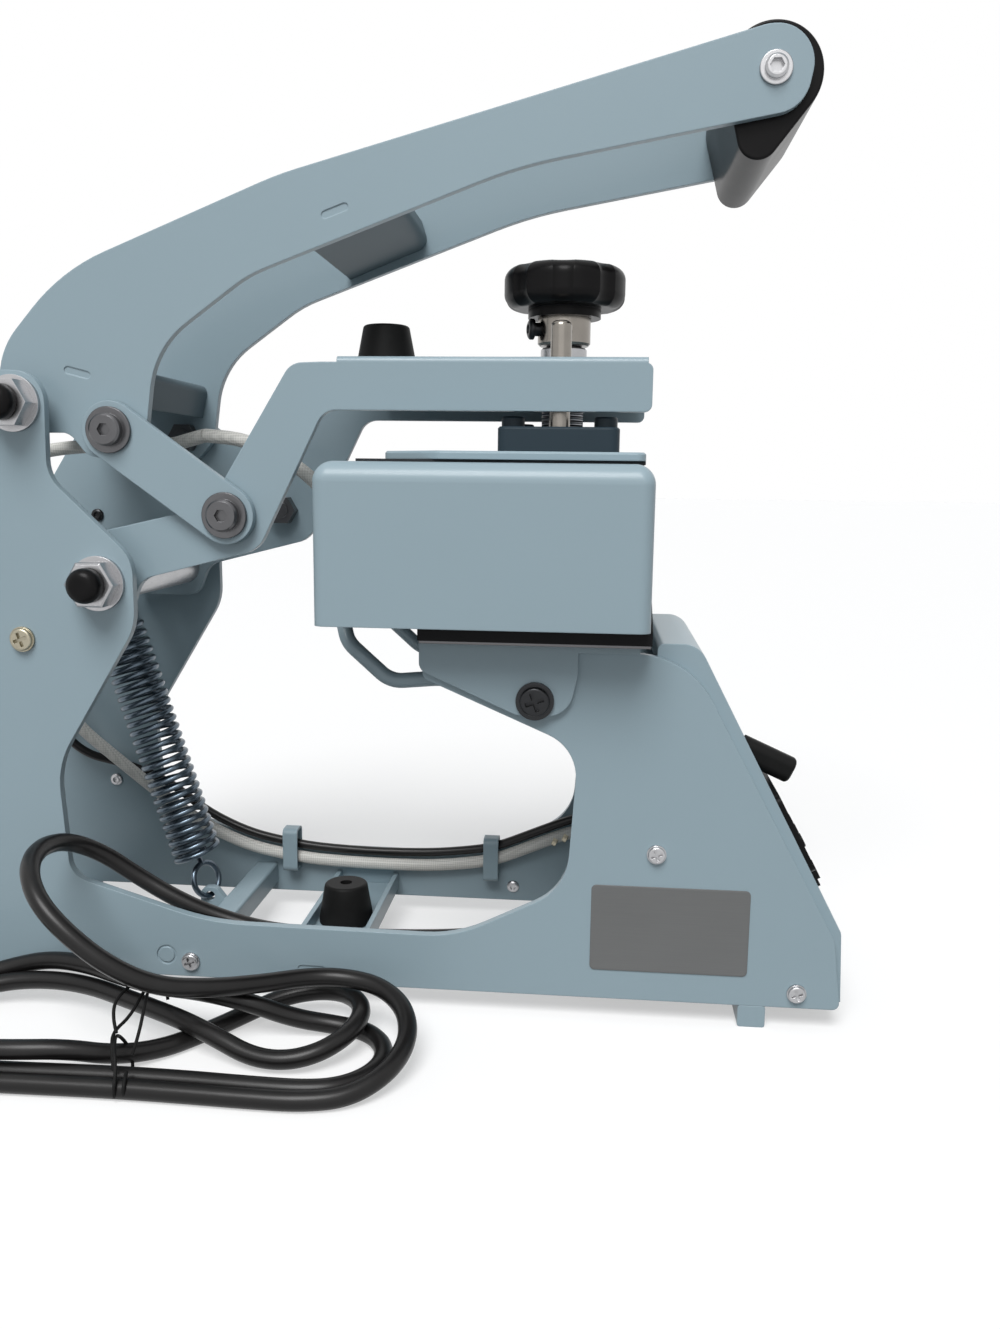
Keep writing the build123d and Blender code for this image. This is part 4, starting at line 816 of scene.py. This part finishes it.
class PRESS_OT_return_spring(bpy.types.Operator):
    """Wind the return spring between the frame and the arm"""

    bl_idname = "heat_press.return_spring"
    bl_label = "Return Spring"

    def hook(self, spring, end, first, ring_z, ring_r, ring_turn):
        """The wire from the last coil to its ring, and the ring."""
        near = ring_z - end * ring_r * MM
        middle = (first + near) / 2
        tail = to_mesh(curve_line("hook", [
            (spring.coil_radius, 0, first),
            (spring.coil_radius * 0.9, -0.003 * end, first + (middle - first) * 0.4),
            (spring.coil_radius * 0.35, -0.002 * end, middle),
            (0, 0, near + (middle - near) * 0.4),
            (0, 0, near + end * 0.0006),
        ], spring.wire_radius))
        deselect()
        bpy.ops.mesh.primitive_torus_add(
            major_radius=ring_r * MM, minor_radius=spring.wire_radius,
            major_segments=36, minor_segments=WIRE_SIDES, location=(0, 0, ring_z),
            rotation=ring_turn)
        return [tail, bpy.context.object]

    def drop(self, top):
        """The top ring's way to its place at rest from the one with the arm fully raised."""
        swing = next(joint for joint in frame["record"]["behaviour"]["joints"]
                     if joint["name"] == "arm_swing")
        pivot = Vector(swing["pos_m"])
        turn = Matrix.Rotation(math.radians(swing["range_deg"][1]), 3, Vector(swing["axis"]))
        return top - (pivot + turn @ (top - pivot))

    def execute(self, context):
        spring = context.scene.press_spring
        low, top = at(0, *SPRING_LOW), at(0, *SPRING_TOP)
        length = (top - low).length
        start = (length - spring.body_length) / 2
        deselect()
        bpy.ops.mesh.primitive_circle_add(
            vertices=WIRE_SIDES, radius=spring.wire_radius, fill_type="NOTHING",
            location=(spring.coil_radius, 0, start), rotation=(math.pi / 2, 0, 0))
        coil = settle(bpy.context.object)
        apply_modifier(coil, "SCREW", axis="Z", steps=COIL_STEPS, render_steps=COIL_STEPS,
                       iterations=spring.turns, screw_offset=spring.body_length / spring.turns,
                       use_merge_vertices=True, use_smooth_shade=True)
        tail, eye = self.hook(spring, 1, start + spring.body_length, length, TOP_RING_R,
                              (0, math.pi / 2, 0))
        parts = [coil, tail, *self.hook(spring, -1, start, LOW_RING_R * MM, LOW_RING_R,
                                        (math.pi / 2, 0, LOW_RING_TURN))]
        for part in (*parts, eye):
            settle(part)
        whole = join(parts)
        for wire in (whole, eye):
            wire.data.transform(aim(low, (1, 0, 0), top - low))
            outward(wire)
        finish_piece(eye, "return_spring_eye", FINISHES["spring"], "arm", 80.0)
        finish_piece(whole, "return_spring_wire", FINISHES["spring"], None, 80.0)
        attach(whole, "base")
        drop = self.drop(top)      # the top ring's way as the arm swings; it and keep are worked out but not used
        keep = 1 - drop.length / (top - low).dot(drop.normalized())
        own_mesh(whole)
        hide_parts("return_spring")
        return {"FINISHED"}


CABLE_R = 3.2
# the heater cable's line from the base, over the pivot, to the arm
CABLE_LOOP = [
    (7.85, -68.2, 239.5), (7.4, -65.4, 243.6), (6.9, -61.4, 246.4), (5.9, -54.0, 248.9),
    (4.5, -36.0, 251.2), (1.0, -8.0, 252.0), (-3.0, 13.0, 251.9), (-5.5, 22.5, 254.2),
    (-8.0, 32.0, 256.5),
]


class PRESS_OT_cable_loop(bpy.types.Operator):
    """Bend the heater cable across the arm's pivot"""

    bl_idname = "heat_press.cable_loop"
    bl_label = "Heater Cable Loop"

    def execute(self, context):
        line = [at(*p) for p in CABLE_LOOP]
        loop = to_mesh(curve_line("heater_cable_bend", line, CABLE_R * MM))
        finish_piece(loop, "heater_cable_bend", FINISHES["sleeve"], None, 60.0)
        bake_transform(loop)
        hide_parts("heater_cable_loop")
        return {"FINISHED"}


PLATE_CENTRE = (252.7, 43.3)        # (u, z) on the left side plate
PLATE_GAP = 0.02                    # between the side plate and the data plate
PLATE_T = 0.4
PLATE_RIM = 1.1                     # width of the raised rim
PLATE_SINK = 0.08                   # depth of the field inside the rim
PLATE_EDGE = 0.12


class PRESS_OT_data_plate(bpy.types.Operator):
    """Fix the blank data plate to the tower"""

    bl_idname = "heat_press.data_plate"
    bl_label = "Data Plate"

    def execute(self, context):
        size = context.scene.press_plate
        deselect()
        bpy.ops.mesh.primitive_plane_add(
            size=1, location=at(NEAR_FACE - PLATE_GAP, *PLATE_CENTRE),
            rotation=(0, -math.pi / 2, 0))
        plate = bpy.context.object
        plate.scale = (size.height, size.width, 1)
        settle(plate)
        bpy.ops.object.mode_set(mode="EDIT")
        bpy.ops.mesh.select_all(action="SELECT")
        bpy.ops.mesh.bevel(offset=size.corner, segments=5, affect="VERTICES")
        bpy.ops.mesh.select_all(action="SELECT")
        bpy.ops.mesh.extrude_region_move(
            TRANSFORM_OT_translate={"value": (-PLATE_T * MM, 0, 0)})
        bpy.ops.mesh.inset(thickness=PLATE_RIM * MM, depth=-PLATE_SINK * MM)
        bpy.ops.object.mode_set(mode="OBJECT")
        soften(plate, PLATE_EDGE)
        outward(plate)
        finish_piece(plate, "blank_data_plate", FINISHES["foil"], "base")
        return {"FINISHED"}


FERRULES = ((46.7, 202.5, 50.9), (46.9, 197.0, 48.5))
FERRULE_DIR = (-0.4, 15.5, -6.8)    # along the cable, as (x, u, z)
FERRULE_R = 3.3                     # at the root
FERRULE_WALL = 0.4
FERRULE_STEPS = ((0.3, 1.12), (2.2, 1.0), (0.3, 0.9))   # rise of each step, and its swell


class PRESS_OT_ferrules(bpy.types.Operator):
    """Crimp two brass ferrules on the heater cable behind the tower"""

    bl_idname = "heat_press.ferrules"
    bl_label = "Cable Ferrules"

    def execute(self, context):
        rings = []
        x, u, z = FERRULE_DIR
        for place in FERRULES:
            deselect()
            bpy.ops.mesh.primitive_circle_add(vertices=32, radius=FERRULE_R * MM)
            ring = bpy.context.object
            bpy.ops.object.mode_set(mode="EDIT")
            for rise, swell in FERRULE_STEPS:
                bpy.ops.mesh.extrude_region_move(
                    TRANSFORM_OT_translate={"value": (0, 0, rise * MM)})
                bpy.ops.transform.resize(value=(swell, swell, 1))
            bpy.ops.object.mode_set(mode="OBJECT")
            apply_modifier(ring, "SOLIDIFY", thickness=FERRULE_WALL * MM, offset=1)
            outward(ring)
            ring.data.transform(aim(at(*place), (1, 0, 0), (x, -u, z)))
            rings.append(ring)
        finish_piece(join(rings), "cable_ferrules", FINISHES["brass"], "base")
        return {"FINISHED"}


# a pan head's disc, then the insets that raise its dome and sink its socket, as shares
# of its radius
HEAD_DEPTH = 0.3
HEAD_LIFT = 0.14           # height of the disc's middle
HEAD_STEPS = ((0.15, 0.14), (0.21, 0.09), (0.17, 0.02), (0.09, -0.21))  # each inset and rise
HEAD_EDGE = 0.08           # in millimetres


def pan_head(radius, placed):
    """A domed head with a socket, from a disc inset and raised in steps."""
    deselect()
    bpy.ops.mesh.primitive_cylinder_add(
        vertices=32, radius=radius * MM, depth=radius * HEAD_DEPTH * MM,
        location=(0, 0, radius * HEAD_LIFT * MM))
    head = settle(bpy.context.object)
    pick_faces(head, lambda centre, normal: normal.z > 0.9)
    for inward, rise in HEAD_STEPS:
        bpy.ops.mesh.inset(thickness=inward * radius * MM, depth=rise * radius * MM)
    bpy.ops.object.mode_set(mode="OBJECT")
    soften(head, HEAD_EDGE)
    head.data.transform(placed)
    return head


# (u, z, blackened) on the inner face of the right side plate
INNER_SCREWS = ((-50.7, 216.4, True), (-47.0, 70.3, False), (34.5, 17.9, False),
                (175.5, 18.0, False))
INNER_HEAD_R = 3.3


class PRESS_OT_inner_screws(bpy.types.Operator):
    """Drive the pan head screws inside the right side plate"""

    bl_idname = "heat_press.inner_screws"
    bl_label = "Inner Screws"

    def execute(self, context):
        for dark, finish, name in ((True, "dark_steel", "inner_plate_black_screw"),
                                   (False, "steel", "inner_plate_screws")):
            heads = [pan_head(INNER_HEAD_R, aim(at(FAR_FACE, u, z), (0, 1, 0), (-1, 0, 0)))
                     for u, z, black in INNER_SCREWS if black == dark]
            finish_piece(join(heads), name, FINISHES[finish], "base")
        return {"FINISHED"}


HUB_SCREW_AT = (-4.2, 187.6, 305.0)     # on the side of the knob's hub
HUB_SCREW_DIR = (-0.34, 0.94, 0.0)      # outwards, along X, Y and Z
HUB_SCREW_R = 4.6
HUB_SCREW_STEM = 2.6                    # bare stem between the hub and the head
HUB_STEM_R = 3.0
HUB_STEM_ROOT = 1.6                     # how far the stem goes into the hub
HUB_STEM_TIP = 0.4                      # and into the head
HUB_STEM_EDGE = 0.3


class PRESS_OT_hub_screw(bpy.types.Operator):
    """Fit the screw that locks the knob's hub to its spindle"""

    bl_idname = "heat_press.hub_screw"
    bl_label = "Hub Screw"

    def execute(self, context):
        hub = at(*HUB_SCREW_AT)
        out = Vector(HUB_SCREW_DIR).normalized()
        head = pan_head(HUB_SCREW_R, aim(hub + out * HUB_SCREW_STEM * MM, (0, 0, 1), out))
        deselect()
        bpy.ops.mesh.primitive_cylinder_add(
            vertices=24, radius=HUB_STEM_R * MM,
            depth=(HUB_SCREW_STEM + HUB_STEM_ROOT + HUB_STEM_TIP) * MM)
        stem = bpy.context.object
        soften(stem, HUB_STEM_EDGE)
        middle = (HUB_SCREW_STEM + HUB_STEM_TIP - HUB_STEM_ROOT) / 2
        stem.data.transform(aim(hub + out * middle * MM, (0, 0, 1), out))
        finish_piece(join([head, stem]), "hub_lock_screw", FINISHES["dark_steel"], "knob")
        return {"FINISHED"}


SUNS = {                   # direction towards each sun, and its angle across
    "Key": ((-0.58, 0.08, 0.81), 32.0),
    "Fill": ((-0.95, -0.05, 0.25), 60.0),
}
LIFT_AT = (-0.75, 0.05, 1.05)       # of the panel lamp, along X, Y and Z in metres
LIFT_AIM = (0.0, 0.0, 0.32)
LIFT_SIZE = 0.7                     # in metres
BENCH_SIZE = 30.0                   # in metres
BENCH_GLOW = 0.5                    # share of the shown floor that is white of itself
BENCH_BOUNCE = (0.3, 0.3, 0.3)      # floor that lights the press from below
CAMERA_AT = (-519.9, 217.5, 238.1)
CAMERA_YAW = 0.0882                 # towards the rear, in radians
CAMERA_PITCH = 0.1671               # downwards, in radians
CAMERA_ROLL = 0.0124                # in radians
SENSOR = 36.0                       # across the frame's longer side
CAMERA_LENS = SENSOR * 1100.0 / 1329.0


def seen_plain(network):
    """1 for the rays that show the background: camera, glossy and transmission rays."""
    camera, glossy, through = (network.add("ShaderNodeLightPath", out=ray) for ray in (
        "Is Camera Ray", "Is Glossy Ray", "Is Transmission Ray"))
    return camera.largest(glossy).largest(through)


class PRESS_OT_stage(bpy.types.Operator):
    """Set up the bench top, the lamps and the camera"""

    bl_idname = "heat_press.stage"
    bl_label = "Stage"

    def bench(self, settings):
        """A wide floor that shows nearly white and keeps the shadow of the press."""
        deselect()
        bpy.ops.mesh.primitive_grid_add(x_subdivisions=2, y_subdivisions=2, size=BENCH_SIZE)
        floor = bpy.context.object
        floor.name = "bench_top"
        top = Recipe("BenchTop")
        top.set(Base_Color=tuple(settings.floor), Roughness=0.9, Specular_IOR_Level=0.1)
        glow = top.add("ShaderNodeEmission", {}, {"Color": (1, 1, 1), "Strength": 1.0})
        dark = top.add("ShaderNodeBsdfDiffuse", {}, {"Color": BENCH_BOUNCE})
        shown = top.add("ShaderNodeMixShader", {},
                        {0: BENCH_GLOW, 1: Signal(top, top.shader.outputs[0]), 2: glow})
        whole = top.add("ShaderNodeMixShader", {}, {0: seen_plain(top), 1: dark, 2: shown})
        top.feed(top.output.inputs["Surface"], whole)
        floor.data.materials.append(top.material)

    def world(self, context, settings):
        """Even light from all round, behind which the background is white."""
        world = bpy.data.worlds.new("Studio")
        context.scene.world = world
        world.use_nodes = True
        sky = Network(world.node_tree)
        even = sky.add("ShaderNodeBackground", {},
                       {"Color": (0.93, 0.97, 1.0), "Strength": settings.ambient})
        white = sky.add("ShaderNodeBackground", {}, {"Color": (1, 1, 1), "Strength": 1.0})
        blend = sky.add("ShaderNodeMixShader", {}, {0: seen_plain(sky), 1: even, 2: white})
        output = sky.tree.nodes.new("ShaderNodeOutputWorld")
        sky.feed(output.inputs["Surface"], blend)

    def lamps(self, context, settings):
        """Two suns on the left and a panel above the handle."""
        for name, (towards, spread) in SUNS.items():
            lamp = bpy.data.lights.new(name, "SUN")
            lamp.energy = getattr(settings, name.lower())
            lamp.angle = math.radians(spread)
            holder = bpy.data.objects.new(name, lamp)
            context.scene.collection.objects.link(holder)
            holder.rotation_euler = Vector(towards).to_track_quat("Z", "Y").to_euler()
        panel = bpy.data.lights.new("Lift", "AREA")
        panel.energy = settings.lift
        panel.size = LIFT_SIZE
        holder = bpy.data.objects.new("Lift", panel)
        context.scene.collection.objects.link(holder)
        holder.location = LIFT_AT
        holder.rotation_euler = (Vector(LIFT_AT) - Vector(LIFT_AIM)).to_track_quat(
            "Z", "Y").to_euler()

    def camera(self, context):
        """Look at the left side of the press from a little in front and above."""
        camera = bpy.data.cameras.new("Camera")
        camera.sensor_width = SENSOR
        camera.lens = CAMERA_LENS
        camera.clip_start = 0.01
        camera.clip_end = 60.0
        holder = bpy.data.objects.new("Camera", camera)
        context.scene.collection.objects.link(holder)
        ahead = Vector((math.cos(CAMERA_PITCH) * math.cos(CAMERA_YAW),
                        math.cos(CAMERA_PITCH) * math.sin(CAMERA_YAW),
                        -math.sin(CAMERA_PITCH)))
        right = ahead.cross(Vector((0, 0, 1))).normalized()
        up = right.cross(ahead)
        tilted_right = right * math.cos(CAMERA_ROLL) + up * math.sin(CAMERA_ROLL)
        tilted_up = up * math.cos(CAMERA_ROLL) - right * math.sin(CAMERA_ROLL)
        turn = Matrix((tilted_right, tilted_up, -ahead)).transposed().to_4x4()
        holder.matrix_world = Matrix.Translation(at(*CAMERA_AT)) @ turn
        context.scene.camera = holder
        context.scene.view_settings.view_transform = "Standard"

    def execute(self, context):
        settings = context.scene.press_stage
        self.bench(settings)
        self.world(context, settings)
        self.lamps(context, settings)
        self.camera(context)
        return {"FINISHED"}


GROUPS = {"press_paint": PaintSettings, "press_cord": CordSettings,
          "press_spring": SpringSettings, "press_plate": PlateSettings,
          "press_stage": StageSettings}
STEPS = (PRESS_OT_dress_frame, PRESS_OT_power_cord, PRESS_OT_return_spring,
         PRESS_OT_cable_loop, PRESS_OT_data_plate, PRESS_OT_ferrules,
         PRESS_OT_inner_screws, PRESS_OT_hub_screw, PRESS_OT_stage)


class PRESS_PT_sidebar(bpy.types.Panel):
    """Lists the settings and steps of the heat press"""

    bl_label = "Cap Heat Press"
    bl_idname = "PRESS_PT_sidebar"
    bl_space_type = "VIEW_3D"
    bl_region_type = "UI"
    bl_category = "Heat Press"

    def draw(self, context):
        for group in GROUPS:
            settings = getattr(context.scene, group)
            for name in settings.__annotations__:
                self.layout.prop(settings, name)
        for step in STEPS:
            self.layout.operator(step.bl_idname)


def register():
    """Register the settings, the operators and the panel."""
    for name, group in GROUPS.items():
        bpy.utils.register_class(group)
        setattr(bpy.types.Scene, name, bpy.props.PointerProperty(type=group))
    for step in STEPS:
        bpy.utils.register_class(step)
    bpy.utils.register_class(PRESS_PT_sidebar)


def unregister():
    """Undo register, in the reverse order."""
    bpy.utils.unregister_class(PRESS_PT_sidebar)
    for step in reversed(STEPS):
        bpy.utils.unregister_class(step)
    for name, group in GROUPS.items():
        delattr(bpy.types.Scene, name)
        bpy.utils.unregister_class(group)


def main():
    """Run every step in order."""
    register()
    for step in STEPS:
        family, name = step.bl_idname.split(".")
        getattr(getattr(bpy.ops, family), name)()


if __name__ == "__main__":
    main()
